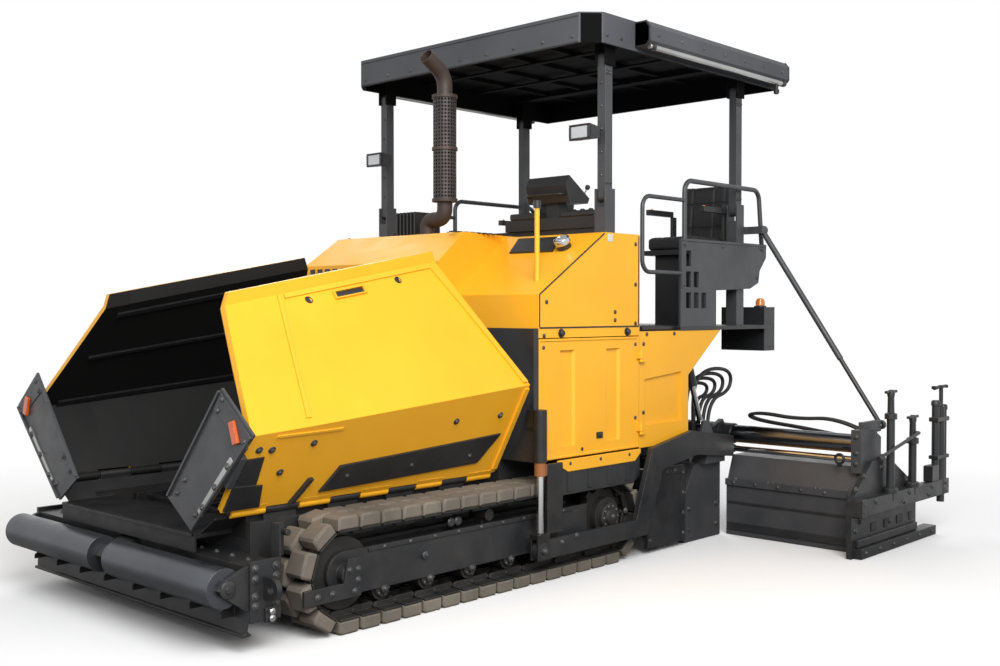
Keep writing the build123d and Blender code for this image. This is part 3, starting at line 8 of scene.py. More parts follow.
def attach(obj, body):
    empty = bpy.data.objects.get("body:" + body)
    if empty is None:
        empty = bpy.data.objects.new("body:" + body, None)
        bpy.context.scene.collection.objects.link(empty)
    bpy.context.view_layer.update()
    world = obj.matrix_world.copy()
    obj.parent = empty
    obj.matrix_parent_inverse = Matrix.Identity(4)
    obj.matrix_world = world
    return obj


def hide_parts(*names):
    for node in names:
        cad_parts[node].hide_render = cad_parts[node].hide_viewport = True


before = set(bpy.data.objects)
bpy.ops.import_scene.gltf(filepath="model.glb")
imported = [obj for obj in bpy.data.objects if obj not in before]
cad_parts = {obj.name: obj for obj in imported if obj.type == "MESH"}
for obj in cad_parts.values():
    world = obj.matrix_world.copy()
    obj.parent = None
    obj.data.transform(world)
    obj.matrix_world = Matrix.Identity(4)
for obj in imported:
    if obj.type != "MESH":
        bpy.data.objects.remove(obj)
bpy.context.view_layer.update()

SIDES = ((1, "left"), (-1, "right"))
OUT, AHEAD, BACK, UP = (1, 0, 0), (0, -1, 0), (0, 1, 0), (0, 0, 1)


def put(name, data):
    """A new object in the scene."""
    piece = bpy.data.objects.new(name, data)
    bpy.context.collection.objects.link(piece)
    return piece


# Camera at the photograph's place
CAMERA_PLACE = (6.183, -6.24, 1.805)
CAMERA_TURN = radians(43.119)
CAMERA_DIP = radians(1.208)
SENSOR_WIDTH = 36.0
LENS = 41.27
CLIP_END = 200.0


def set_camera():
    data = bpy.data.cameras.new("camera")
    data.sensor_fit = "HORIZONTAL"
    data.sensor_width = SENSOR_WIDTH
    data.lens = LENS
    data.clip_end = CLIP_END
    camera = put("camera", data)
    camera.location = CAMERA_PLACE
    level = cos(CAMERA_DIP)
    look = Vector((-sin(CAMERA_TURN) * level, cos(CAMERA_TURN) * level, -sin(CAMERA_DIP)))
    camera.rotation_euler = look.to_track_quat("-Z", "Y").to_euler()
    bpy.context.scene.camera = camera


set_camera()


# Materials
class Nodes:
    """The shader tree of a material or a world."""

    def __init__(self, owner):
        owner.use_nodes = True
        self.tree = owner.node_tree
        self.tree.nodes.clear()

    def add(self, kind, inputs=None, **values):
        node = self.tree.nodes.new("ShaderNode" + kind)
        for key, value in values.items():
            setattr(node, key, value)
        self.fill(node, inputs or {})
        return node

    def fill(self, node, inputs):
        for key, value in inputs.items():
            self.feed(node.inputs[key], value)

    def feed(self, target, value):
        if isinstance(value, bpy.types.NodeSocket):
            self.tree.links.new(value, target)
        else:
            target.default_value = value

    def math(self, kind, a, b=0.0):
        return self.add("Math", {0: a, 1: b}, operation=kind).outputs[0]

    def seen(self):
        """One for rays from the camera, mirrored or through glass, and zero for the light's own."""
        path = self.add("LightPath").outputs
        result = path["Is Camera Ray"]
        for ray in ("Is Glossy Ray", "Is Transmission Ray"):
            result = self.math("MAXIMUM", result, path[ray])
        return result

    def blend(self, part, first, last):
        return self.add("MixShader", {0: part, 1: first, 2: last}).outputs[0]


class Surface(Nodes):
    """A material with one main shader."""

    def __init__(self, name):
        self.material = bpy.data.materials.new(name)
        super().__init__(self.material)
        self.out = self.add("OutputMaterial")
        self.shader = self.add("BsdfPrincipled")
        self.feed(self.out.inputs["Surface"], self.shader.outputs["BSDF"])
        coords = self.add("TexCoord")
        self.spot = coords.outputs["Object"]
        self.facing = coords.outputs["Normal"]

    def noise(self, scale, detail=4.0, rough=0.55):
        inputs = {"Vector": self.spot, "Scale": scale, "Detail": detail, "Roughness": rough}
        return self.add("TexNoise", inputs).outputs["Fac"]

    def ramp(self, source, low, high, first=0.0, last=1.0):
        inputs = {"Value": source, "From Min": low, "From Max": high, "To Min": first, "To Max": last}
        return self.add("MapRange", inputs).outputs["Result"]

    def both(self, *masks):
        result = masks[0]
        for mask in masks[1:]:
            result = self.math("MULTIPLY", result, mask)
        return result

    def mix(self, part, a, b):
        return self.add("Mix", {0: part, 6: a, 7: b}, data_type="RGBA").outputs[2]

    def edges(self, radius):
        """Where the edges are, and the normal that rounds them."""
        normal = self.add("Bevel", {"Radius": radius}, samples=4).outputs[0]
        true = self.add("NewGeometry").outputs["True Normal"]
        dot = self.add("VectorMath", {0: normal, 1: true}, operation="DOT_PRODUCT")
        return self.ramp(dot.outputs["Value"], 0.98, 0.75), normal

    def axis(self, name, source=None):
        return self.add("SeparateXYZ", {0: self.spot if source is None else source}).outputs[name]

    def reach(self, low, high):
        """A ramp over the distance from the machine's middle plane."""
        return self.ramp(self.math("ABSOLUTE", self.axis("X")), low, high)

    def band(self, name, low, high, blur=0.001):
        source = self.axis(name)
        return self.both(self.ramp(source, low - blur, low + blur), self.ramp(source, high + blur,
            high - blur))

    def near_rod(self, y, z, radius):
        dy = self.math("SUBTRACT", self.axis("Y"), y)
        dz = self.math("SUBTRACT", self.axis("Z"), z)
        away = self.math("ADD", self.both(dy, dy), self.both(dz, dz))
        return self.ramp(away, radius * radius, 0.97 * radius * radius)


def rgb(r, g, b):
    def linear(c):
        c = c / 255.0
        return c / 12.92 if c <= 0.04045 else ((c + 0.055) / 1.055) ** 2.4
    return (linear(r), linear(g), linear(b), 1.0)


DUST = rgb(134, 124, 110)


def finish(name, colour, shade, worn, rough, metal=0.0, wear=0.5, grain=300.0, rise=0.0003,
           spread=0.1, dust=0.0, coat=0.0, edge=0.005, sheen=0.5, cover=()):
    """A worn surface; cover lists (mask, colour, roughness, metal) of its other finishes and of its painted
    shade.
    """
    n = Surface(name)
    tone = n.ramp(n.noise(1.7, 5.0), 0.32, 0.68)
    base = n.mix(tone, rgb(*shade), rgb(*colour))
    fine = n.noise(grain, 3.0)
    base = n.mix(n.ramp(fine, 0.35, 0.75, 0.0, 0.22), base, rgb(*shade))
    patch = n.ramp(n.noise(7.0), 0.3, 0.7, rough - spread, rough + spread)
    shine = metal
    for mask_of, tint, gloss, metal_share in cover:
        mask = mask_of(n)
        rest = n.math("SUBTRACT", 1.0, mask)
        base = n.mix(mask, base, rgb(*tint))
        patch = n.math("ADD", n.both(patch, rest), n.both(mask, gloss))
        shine = n.math("ADD", n.both(rest, shine), n.both(mask, metal_share))
    if dust:
        height = n.ramp(n.axis("Z"), 1.5, 0.1)
        cloud = n.ramp(n.noise(5.5, 6.0, 0.62), 0.42, 0.72)
        base = n.mix(n.both(height, cloud, dust), base, DUST)
    rim, round_normal = n.edges(edge)
    chips = n.ramp(n.noise(26.0, 6.0, 0.65), 0.47, 0.62)
    bump = n.add("Bump", {"Strength": 0.35, "Distance": rise, "Height": fine, "Normal": round_normal})
    n.fill(n.shader, {"Base Color": n.mix(n.both(rim, chips, wear), base, rgb(*worn)), "Roughness": patch,
        "Metallic": shine, "Specular IOR Level": sheen, "Normal": bump.outputs[0]})
    if coat:
        n.fill(n.shader, {"Coat Weight": coat, "Coat Roughness": 0.12})
    return n.material


# Masks: where one CAD node changes its finish, or where painted shade darkens it
# Painted shade: near black on the wings' inner faces and on the low knuckle by the hinge, where the hopper's
# shade falls.
def wing_inside_painted_shade(n):
    inward = n.ramp(n.both(n.axis("X", n.facing), n.math("SIGN", n.axis("X"))), -0.02, -0.2)
    knuckle = n.both(n.reach(0.93, 0.925), n.ramp(n.axis("Z"), 0.8, 0.79))
    return n.math("MAXIMUM", inward, knuckle)


def leveller(n):
    return n.both(n.ramp(n.axis("Y"), -0.59, -0.6), n.reach(1.2, 1.21))


def leveller_rod(n):
    return n.both(leveller(n), n.band("Z", 0.352, 0.72))


def leveller_gland(n):
    return n.both(leveller(n), n.band("Z", 0.72, 0.81))


def guide_rod(n):
    return n.both(n.near_rod(1.8, 0.8, 0.075), n.reach(2.299, 2.297))


def guide_brass(n):
    return n.both(guide_rod(n), n.ramp(n.axis("Z"), 0.756, 0.752))


def ram_rod(n):
    return n.both(n.near_rod(1.8, 0.68, 0.028), n.reach(2.299, 2.297))


# Painted shade: near black on the canopy roof's underside, where shade falls under the roof.
def roof_underside_painted_shade(n):
    return n.both(n.band("X", -1.27, 1.27), n.band("Y", -0.072, 2.412), n.band("Z", 3.0, 3.842))


def sight_stem(n):
    return n.both(n.ramp(n.axis("Y"), -0.36, -0.38), n.ramp(n.axis("Z"), 2.481, 2.479))


looks = {}


def look(name, nodes, *colours, **values):
    """A finish, and the CAD nodes that wear it."""
    looks[name] = finish(name, *colours, **values)
    for node in nodes.split():
        slots = bpy.data.objects[node].data.materials
        slots.clear()
        slots.append(looks[name])


CHROME = (214, 214, 212)
YELLOW = ((253, 184, 40), (248, 176, 33), (168, 120, 56), 0.42)
GREY = ((66, 67, 70), (56, 57, 60), (124, 123, 121), 0.42)
BLACK = ((39, 40, 42), (31, 32, 34), (90, 89, 88), 0.4)

look("yellow_paint", "hood door_left door_right rear_quarters", *YELLOW, wear=0.45, grain=220.0, rise=0.0002,
     spread=0.07, dust=0.12)
# Its cover is near-black painted shade on the wings' inner faces.
look("wing_paint", "wing_left wing_right", *YELLOW, grain=220.0, rise=0.0002, spread=0.07, dust=0.04,
    sheen=0.4, cover=[(wing_inside_painted_shade, (8, 8, 8), 0.6, 0.0)])
look("grey_paint", "wing_plate_left wing_plate_right handrails canopy_brackets canopy_front_posts "
     "canopy_rear_posts screed_main stay_tube_left stay_tube_right", *GREY, grain=260.0, dust=0.08)
look("extension_paint", "extension_left extension_right", *GREY, grain=260.0, dust=0.08,
    cover=[(guide_rod, (120, 122, 126), 0.22, 1.0), (guide_brass, (176, 128, 62), 0.25, 1.0),
    (ram_rod, CHROME, 0.12, 1.0)])
look("black_paint", "chassis_frame body_frame platform_deck tow_arms end_gate_left end_gate_right auger_box "
    "track_frames push_beam tie_down_eyes stay_rod_left stay_rod_right", *BLACK, wear=0.45, grain=200.0,
    dust=0.08)
look("cylinder_paint", "cylinders", (24, 24, 25), (18, 18, 19), *BLACK[2:], wear=0.45, grain=200.0,
    rise=0.0004, dust=0.1, cover=[(leveller_rod, CHROME, 0.12, 1.0),
    (leveller_gland, (150, 92, 48), 0.45, 0.0)])
look("worn_steel", "hopper_floor conveyor_chains screed_guides auger_left auger_right", (36, 36, 37),
    (27, 27, 28), (120, 118, 115), 0.42, metal=0.1, wear=0.6, grain=60.0, rise=0.0005, dust=0.06, sheen=0.3)
look("roller_steel", "push_roller_left push_roller_right", (92, 95, 100), (76, 78, 83), (150, 150, 150), 0.34,
     metal=0.85, wear=0.4, grain=140.0, rise=0.0002, spread=0.06)
look("cast_iron", "track_wheels engine_block", (36, 35, 34), (27, 27, 26), (96, 93, 88), 0.58, metal=0.2,
     grain=120.0, rise=0.0008, dust=0.1)
look("track_pad", "track_belts", (126, 117, 105), (88, 81, 73), (176, 166, 150), 0.85, wear=0.8, grain=70.0,
     rise=0.0012, spread=0.08, edge=0.009)
look("rubber_hose", "hoses", (34, 34, 34), (24, 24, 24), (70, 70, 70), 0.6, wear=0.2)
look("bright_rod", "lift_rod_left lift_rod_right", CHROME, (190, 190, 190), (230, 230, 230), 0.16, metal=1.0,
     wear=0.2, grain=400.0, rise=0.00005, spread=0.05)
# Its cover is near-black painted shade on the roof's underside.
look("roof_panel", "canopy_roof", (92, 94, 98), (80, 82, 86), (146, 146, 146), 0.62, wear=0.35, grain=260.0,
     spread=0.04, sheen=0.12, cover=[(roof_underside_painted_shade, (10, 10, 11), 0.9, 0.0)])
look("seat_cover", "seats", (28, 28, 29), (21, 21, 22), (50, 50, 50), 0.66, wear=0.15, grain=420.0,
    rise=0.0007)
look("moulded_black", "console seat_bases air_cleaner", (36, 36, 37), (27, 27, 28), (80, 80, 80), 0.48,
    wear=0.25, grain=380.0, rise=0.0005)
look("lamp_body", "lamps work_lamps", (40, 40, 41), (30, 30, 31), (90, 90, 90), 0.45, wear=0.3,
     cover=[(sight_stem, YELLOW[0], 0.4, 0.0)])
look("rusty_steel", "exhaust", (76, 60, 52), (46, 39, 37), (108, 86, 70), 0.62, metal=0.2, grain=45.0,
    rise=0.001)
look("guard_steel", "", (70, 64, 61), (50, 46, 45), (104, 92, 82), 0.5, metal=0.4, grain=120.0, rise=0.0004)
look("zinc_bolt", "", (92, 92, 92), (66, 66, 67), (150, 150, 148), 0.42, metal=0.6, rise=0.0002)
look("bright_strip", "", (186, 186, 184), (160, 160, 158), (220, 220, 218), 0.34, metal=0.9, wear=0.4,
    grain=160.0, rise=0.0002)
look("reflector", "", (232, 104, 24), (206, 80, 14), (240, 150, 80), 0.18, wear=0.2, grain=500.0, rise=0.0006,
     coat=0.6)
look("amber_lens", "", (244, 140, 28), (226, 116, 14), (250, 180, 90), 0.14, wear=0.1, grain=260.0,
    rise=0.0008, coat=0.7)
look("red_lens", "", (178, 26, 20), (140, 16, 14), (210, 80, 70), 0.14, wear=0.1, grain=260.0, rise=0.0008,
    coat=0.7)
look("clear_lens", "", (212, 216, 218), (176, 182, 186), (240, 240, 240), 0.12, metal=0.35, wear=0.1,
    grain=240.0, rise=0.0012, coat=0.8)
look("screen_glass", "", (34, 44, 56), (22, 28, 36), (80, 90, 100), 0.08, wear=0.1, rise=0.0001, spread=0.03,
    coat=0.8)
look("pale_plate", "", (226, 226, 222), (206, 206, 202), (170, 170, 168), 0.5, wear=0.3, rise=0.0002)


# Hydraulic hoses
def hose(name, body, side, route, length, radius, *replaced):
    route = [(x * side, y, z) for x, y, z in route]
    curve = bpy.data.curves.new(name, "CURVE")
    curve.dimensions = "3D"
    spline = curve.splines.new("NURBS")
    spline.points.add(len(route) - 1)
    for point, place in zip(spline.points, route):
        point.co = (*place, 1.0)
    spline.order_u = 3
    spline.use_endpoint_u = True
    spline.resolution_u = 16
    curve.bevel_depth = radius
    curve.bevel_resolution = 4
    curve.use_fill_caps = True
    curve.materials.append(looks["rubber_hose"])
    piece = put(name, curve)
    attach(piece, body)
    for node in replaced:
        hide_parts(node)
    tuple(route[0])


# From the tank's rear wall and back, over the screed's guides, and along the extension's guide
for side, tag in SIDES:
    for name, x, high, length in (("outer", 0.88, 1.26, 0.52), ("inner", 0.76, 1.32, 0.57)):
        route = [(x, 1.11, high), (x, 1.3, high), (x, 1.3, 1.0), (x, 1.11, 1.0)]
        hose(f"hose_{name}_{tag}", "tractor", side, route, length, 0.017, "hoses")
    for i, length in enumerate((1.79, 1.66, 1.55, 1.44)):
        x = 1.075 - 0.045 * i
        top = 1.325 - 0.04 * i
        route = [(x, 1.5 - 0.05 * i, 0.598), (x, 1.42 - 0.03 * i, 1.12), (x - 0.01, 1.62, top),
                 (x - 0.02, 2.06 - 0.05 * i, top - 0.02), (x - 0.03, 2.06 - 0.05 * i, 1.12 - 0.01 * i),
                 (x - 0.035, 1.74, 1.06), (x - 0.04, 1.735, 0.85)]
        hose(f"screed_hose_{i + 1}_{tag}", "screed", side, route, length, 0.015)
    for i in range(2):
        y = 1.865 + 0.032 * i
        route = [(2.3, y, 0.893), (2.1, y, 0.975), (1.76, y - 0.01, 0.945), (1.46, y, 0.975),
                 (1.3, y + 0.03, 0.95), (1.36, y + 0.1, 0.9), (1.86, y + 0.1, 0.86), (2.3, y + 0.09, 0.8)]
        hose(f"guide_hose_{i + 1}_{tag}", f"extension_{tag}", side, route, 2.02, 0.013)


# Mesh pieces
def spread(first, last, count):
    return [first + (last - first) * i / (count - 1) for i in range(count)]


def inset(points, axis, gap):
    area = Vector()
    for a, b in zip(points, points[1:] + points[:1]):
        area += a.cross(b)
    turn = 1.0 if area.dot(axis) > 0 else -1.0
    result = []
    for i, p in enumerate(points):
        before = (p - points[i - 1]).normalized()
        after = (points[(i + 1) % len(points)] - p).normalized()
        mid = (axis.cross(before) + axis.cross(after)) * turn
        result.append(p + mid * (2.0 * gap / max(mid.length_squared, 0.3)))
    return result


def ring(centre, u, v, radius, sides):
    turns = [2 * pi * k / sides for k in range(sides)]
    return [centre + (u * cos(t) + v * sin(t)) * radius for t in turns]


def circle(centre, axis, radius, sides):
    axis = Vector(axis).normalized()
    u = axis.orthogonal().normalized()
    return ring(Vector(centre), u, axis.cross(u), radius, sides)


def around(count, y, z, radius):
    """Places evenly round a circle that faces the machine's side."""
    turns = [2 * pi * k / count for k in range(count)]
    return [(y + radius * cos(t), z + radius * sin(t)) for t in turns]


def bent(points, reach, steps=6):
    """A rigid pipe's line with its corners turned."""
    points = [Vector(p) for p in points]
    line = [points[0]]
    for before, corner, after in zip(points, points[1:], points[2:]):
        a = corner + (before - corner).normalized() * min(reach, (before - corner).length / 2)
        b = corner + (after - corner).normalized() * min(reach, (after - corner).length / 2)
        for i in range(steps + 1):
            t = i / steps
            line.append(a.lerp(corner, t).lerp(corner.lerp(b, t), t))
    return line + [points[-1]]


def sweep(points, u=None):
    """Each point of a line, with two directions square to the line."""
    points = [Vector(p) for p in points]
    last = len(points) - 1
    for i, p in enumerate(points):
        tangent = (points[min(i + 1, last)] - points[max(i - 1, 0)]).normalized()
        u = tangent.orthogonal() if u is None else u - tangent * u.dot(tangent)
        u.normalize()
        yield p, u, tangent.cross(u)


class Kit:
    """Shapes gathered into one piece of one look that rides a body; side -1 mirrors them."""

    def __init__(self, name, body, look, side=1):
        self.name = name
        self.body = body
        self.look = look
        self.side = side
        self.mesh = bmesh.new()

    def vert(self, p):
        return self.mesh.verts.new((p[0] * self.side, p[1], p[2]))

    def loft(self, rings, closed=False):
        rows = [[self.vert(p) for p in points] for points in rings]
        if closed:
            rows.append(rows[0])
        count = len(rows[0])
        for near, far in zip(rows, rows[1:]):
            for i in range(count):
                j = (i + 1) % count
                self.mesh.faces.new((near[i], near[j], far[j], far[i]))
        if not closed:
            self.mesh.faces.new(rows[0])
            self.mesh.faces.new(rows[-1])

    def plate(self, points, depth, bevel=0.003):
        points = [Vector(p) for p in points]
        depth = Vector(depth)
        bevel = min(bevel, depth.length * 0.45)
        axis = depth.normalized()
        inner = inset(points, axis, bevel)
        self.loft([inner, [p + axis * bevel for p in points],
                   [p + depth - axis * bevel for p in points], [p + depth for p in inner]])

    def block(self, low, high, bevel=0.004):
        (x0, y0, z0), (x1, y1, z1) = low, high
        self.plate([(x0, y0, z0), (x1, y0, z0), (x1, y1, z0), (x0, y1, z0)], (0, 0, z1 - z0), bevel)

    def bar(self, start, end, across, up, bevel=0.003):
        start, across, up = Vector(start), Vector(across) / 2, Vector(up) / 2
        self.plate([start - across - up, start + across - up, start + across + up, start - across + up],
                   Vector(end) - start, bevel)

    def rod(self, start, end, radius, sides=20, bevel=0.002):
        start = Vector(start)
        depth = Vector(end) - start
        self.plate(circle(start, depth, radius, sides), depth, bevel)

    def lathe(self, centre, axis, profile, sides=24, closed=False):
        axis = Vector(axis).normalized()
        self.loft([circle(Vector(centre) + axis * along, axis, radius, sides)
                   for along, radius in profile], closed)

    def bolt(self, place, radius, axis=OUT):
        self.lathe(place, axis, [(-0.002, 1.7 * radius), (0.003, 1.7 * radius), (0.004, 1.5 * radius)], 16)
        self.lathe(place, axis, [(0.003, radius), (0.9 * radius, radius), (1.1 * radius, 0.8 * radius)], 6)

    def bolts(self, places, radius, axis=OUT):
        for place in places:
            self.bolt(place, radius, axis)

    def run(self, points, radius, sides=12):
        self.loft([ring(p, u, v, radius, sides) for p, u, v in sweep(points)])

    def skin(self, spot, us, vs, near, far):
        """A sheet on a surface; spot(u, v) gives its point and outward normal."""
        layers = []
        for gap in (near, far):
            layers.append([[self.vert(p + n * gap) for p, n in (spot(u, v) for v in vs)] for u in us])
        rows, columns = len(us), len(vs)
        for grid in layers:
            for i in range(rows - 1):
                for j in range(columns - 1):
                    self.mesh.faces.new((grid[i][j], grid[i + 1][j], grid[i + 1][j + 1], grid[i][j + 1]))
        rim = [(i, 0) for i in range(rows)] + [(rows - 1, j) for j in range(1, columns)]
        rim += [(i, columns - 1) for i in range(rows - 2, -1, -1)] + [(0, j)
            for j in range(columns - 2, 0, -1)]
        low, top = layers
        for (a, b), (c, d) in zip(rim, rim[1:] + rim[:1]):
            self.mesh.faces.new((top[a][b], top[c][d], low[c][d], low[a][b]))

    def done(self, *replaced):
        bmesh.ops.recalc_face_normals(self.mesh, faces=self.mesh.faces)
        mesh = bpy.data.meshes.new(self.name)
        self.mesh.to_mesh(mesh)
        self.mesh.free()
        mesh.polygons.foreach_set("use_smooth", [True] * len(mesh.polygons))
        mesh.set_sharp_from_angle(angle=0.6)
        mesh.materials.append(looks[self.look])
        piece = put(self.name, mesh)
        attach(piece, self.body)
        if replaced:
            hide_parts(*replaced)


def kits(body, *titles, side=1):
    """A kit for each title, which is its name and its look."""
    return [Kit(name, body, look, side) for name, look in (title.split() for title in titles)]


def both_sides(*group):
    """Turns the kits to the left side, then to the right, and back to the left at the end."""
    for side, tag in SIDES:
        for kit in group:
            kit.side = side
        yield tag
    for kit in group:
        kit.side = 1


def done(*group):
    for kit in group:
        kit.done()


def grid(*ranges):
    """Every place whose x, y and z are one of the values given for each."""
    xs, ys, zs = [values if isinstance(values, (list, tuple)) else (values,) for values in ranges]
    return [(x, y, z) for x in xs for y in ys for z in zs]


def at_x(x, *places):
    return [(x, y, z) for y, z in places]


def at_y(y, *places):
    return [(x, y, z) for x, z in places]


# Tracks: a loop of half pads on chain links and pins
AXLE_Z = 0.3296
IDLER_Y = -2.19
SPROCKET_Y = 0.21
CHAIN_R = 0.2546
TRACK_X = 1.1
PITCH = 0.16
SHOES = 40
RUN = SPROCKET_Y - IDLER_Y
TURN = pi * CHAIN_R
HALF_PADS = ((0.003, 0.0), (-0.15, 0.34 * PITCH))
HALF_PAD_WIDTH = 0.147
PAD = [(-0.073, -0.004), (0.073, -0.004), (0.073, 0.058), (0.058, 0.075), (-0.058, 0.075), (-0.073, 0.058)]
PAD_BASE = [(-0.07, -0.014), (0.07, -0.014), (0.07, -0.003), (-0.07, -0.003)]
LINK = [(-0.088, -0.03), (-0.078, -0.044), (-0.06, -0.048), (0.06, -0.048), (0.078, -0.044), (0.088, -0.03),
        (0.088, -0.018), (0.07, -0.003), (-0.07, -0.003), (-0.088, -0.018)]
LINK_WIDTH = 0.016
PIN_DEPTH = 0.026
FRAME_X = 1.203
ROLLER_Z = 0.1933


def chain_spot(along):
    """Point on the chain line, its tangent and its outward direction, from the idler's foot."""
    along %= 2 * (RUN + TURN)
    back = along >= RUN + TURN
    part = along - (RUN + TURN) * back
    flip = -1.0 if back else 1.0
    if part < RUN:
        y, turn = (IDLER_Y if not back else SPROCKET_Y) + flip * part, 0.0
    else:
        y, turn = (SPROCKET_Y if not back else IDLER_Y), (part - RUN) / CHAIN_R
    out = Vector((0, flip * sin(turn), -flip * cos(turn)))
    tangent = Vector((0, flip * cos(turn), flip * sin(turn)))
    return Vector((TRACK_X, y, AXLE_Z)) + out * CHAIN_R, tangent, out


def on_chain(kit, along, shape, x, width, bevel):
    spot, tangent, out = chain_spot(along)
    points = [spot + tangent * t + out * o + Vector((x, 0, 0)) for t, o in shape]
    sunk = max(0.0, -min(p.z for p in points))
    kit.plate([p + Vector((0, 0, sunk)) for p in points], (width, 0, 0), bevel)


def track_loops():
    for side, tag in SIDES:
        pads, chain = kits("tractor", f"track_pads_{tag} track_pad", f"track_chain_{tag} cast_iron",
            side=side)
        for k in range(SHOES):
            along = k * PITCH
            for x, shift in HALF_PADS:
                on_chain(pads, along + shift, PAD, x, HALF_PAD_WIDTH, 0.011)
                on_chain(chain, along + shift, PAD_BASE, x, HALF_PAD_WIDTH, 0.002)
            gap = 0.0 if k % 2 else 0.018
            for x in (-0.063 - gap, 0.047 + gap):
                on_chain(chain, along, LINK, x, LINK_WIDTH, 0.002)
            spot, _, out = chain_spot(along + PITCH / 2)
            pin = spot - out * PIN_DEPTH
            for half, radius, sides in ((0.088, 0.013, 12), (0.044, 0.021, 14)):
                chain.rod(pin - Vector((half, 0, 0)), pin + Vector((half, 0, 0)), radius, sides)
        pads.done("track_belts")
        chain.done("track_belts")


def track_details():
    for side, tag in SIDES:
        hubs, bolts, plates = kits("tractor", f"roller_hubs_{tag} cast_iron", f"track_bolts_{tag} zinc_bolt",
                                   f"track_plates_{tag} black_paint", side=side)
        for y in spread(-1.8977, -0.1023, 6):
            hubs.lathe((1.172, y, ROLLER_Z), OUT, [
                (0, 0.052), (0.016, 0.052), (0.022, 0.046), (0.024, 0.026), (0.036, 0.026), (0.04, 0.02)])
            bolts.bolt((1.21, y, ROLLER_Z), 0.013)
            bolts.bolts(at_x(1.193, *around(5, y, ROLLER_Z, 0.038)), 0.006)
        for y in (-1.33, -1.27):
            bolts.lathe((1.165, y, 0.496), OUT, [(0, 0.03), (0.012, 0.03), (0.018, 0.022)], 20)
        plates.lathe((FRAME_X, -1.586, 0.363), OUT, [(0, 0.031), (0.004, 0.031), (0.004, 0.02)], 20)
        plates.block((FRAME_X, -1.6, 0.363), (1.2075, -1.572, 0.42), 0.001)
        bolts.lathe((1.205, -1.586, 0.34), OUT, [
            (0, 0.024), (0.016, 0.024), (0.02, 0.018), (0.02, 0.009), (0.03, 0.008)], 20)
        plates.block((FRAME_X, -2.02, 0.425), (1.212, -0.2, 0.455), 0.003)
        bolts.bolts(grid(1.212, spread(-1.9, -0.3, 9), 0.44), 0.008)
        bolts.bolts(at_x(1.274, (-2.43, 0.25), (-2.33, 0.25), (-2.174, 0.24), (-2.15, 0.36), (-2.21, 0.36),
                         (-2.15, 0.3)), 0.012)
        hubs.lathe((1.204, SPROCKET_Y, AXLE_Z), OUT, [
            (0, 0.1), (0.012, 0.1), (0.018, 0.092), (0.018, 0.06), (0.03, 0.055), (0.034, 0.045)], 32)
        bolts.bolts(at_x(1.221, *around(10, SPROCKET_Y, AXLE_Z, 0.077)), 0.007)
        plates.block((FRAME_X, -0.5, 0.2), (1.216, -0.36, 0.66))
        bolts.bolts(grid(1.216, (-0.47, -0.39), (0.24, 0.42, 0.62)), 0.01)
        done(hubs, bolts, plates)


# Wing surfaces: y along the machine, v from the lower edge of each panel to its upper edge
WING_FRONT = -2.83
WING_LENGTH = 2.11
FRONT_BEND = 0.39
SUNK = -0.002
WING_PLATE_FRONT = -2.884


def wing_ends(y):
    part = (y - WING_FRONT) / WING_LENGTH
    bend = 0.03 * max(0.0, (WING_FRONT + FRONT_BEND - y) / FRONT_BEND)
    crease = Vector((1.28 - bend, y, 1.15 + 0.164 * part))
    top = Vector((0.7 - bend, y, 1.785 + 0.386 * part))
    return Vector((0.9603, y, 0.7204)), crease, top


def wing_face(panel, y, v):
    low, high = wing_ends(y)[panel:panel + 2]
    along = high - low
    return low + along * v, Vector((along.z, 0, -along.x)).normalized()


def wing_low(y, v):
    return wing_face(0, y, v)


def wing_up(y, v):
    return wing_face(1, y, v)


def wing_back(y, v):
    spot, normal = wing_up(y, v)
    return spot, -normal


def patch(face, corners):
    """A surface patch between four (y, v) corners, as a function of two shares."""
    (a, b, c, d) = [Vector(p) for p in corners]

    def spot(s, t):
        y, v = a.lerp(b, s).lerp(d.lerp(c, s), t)
        return face(y, v)
    return spot


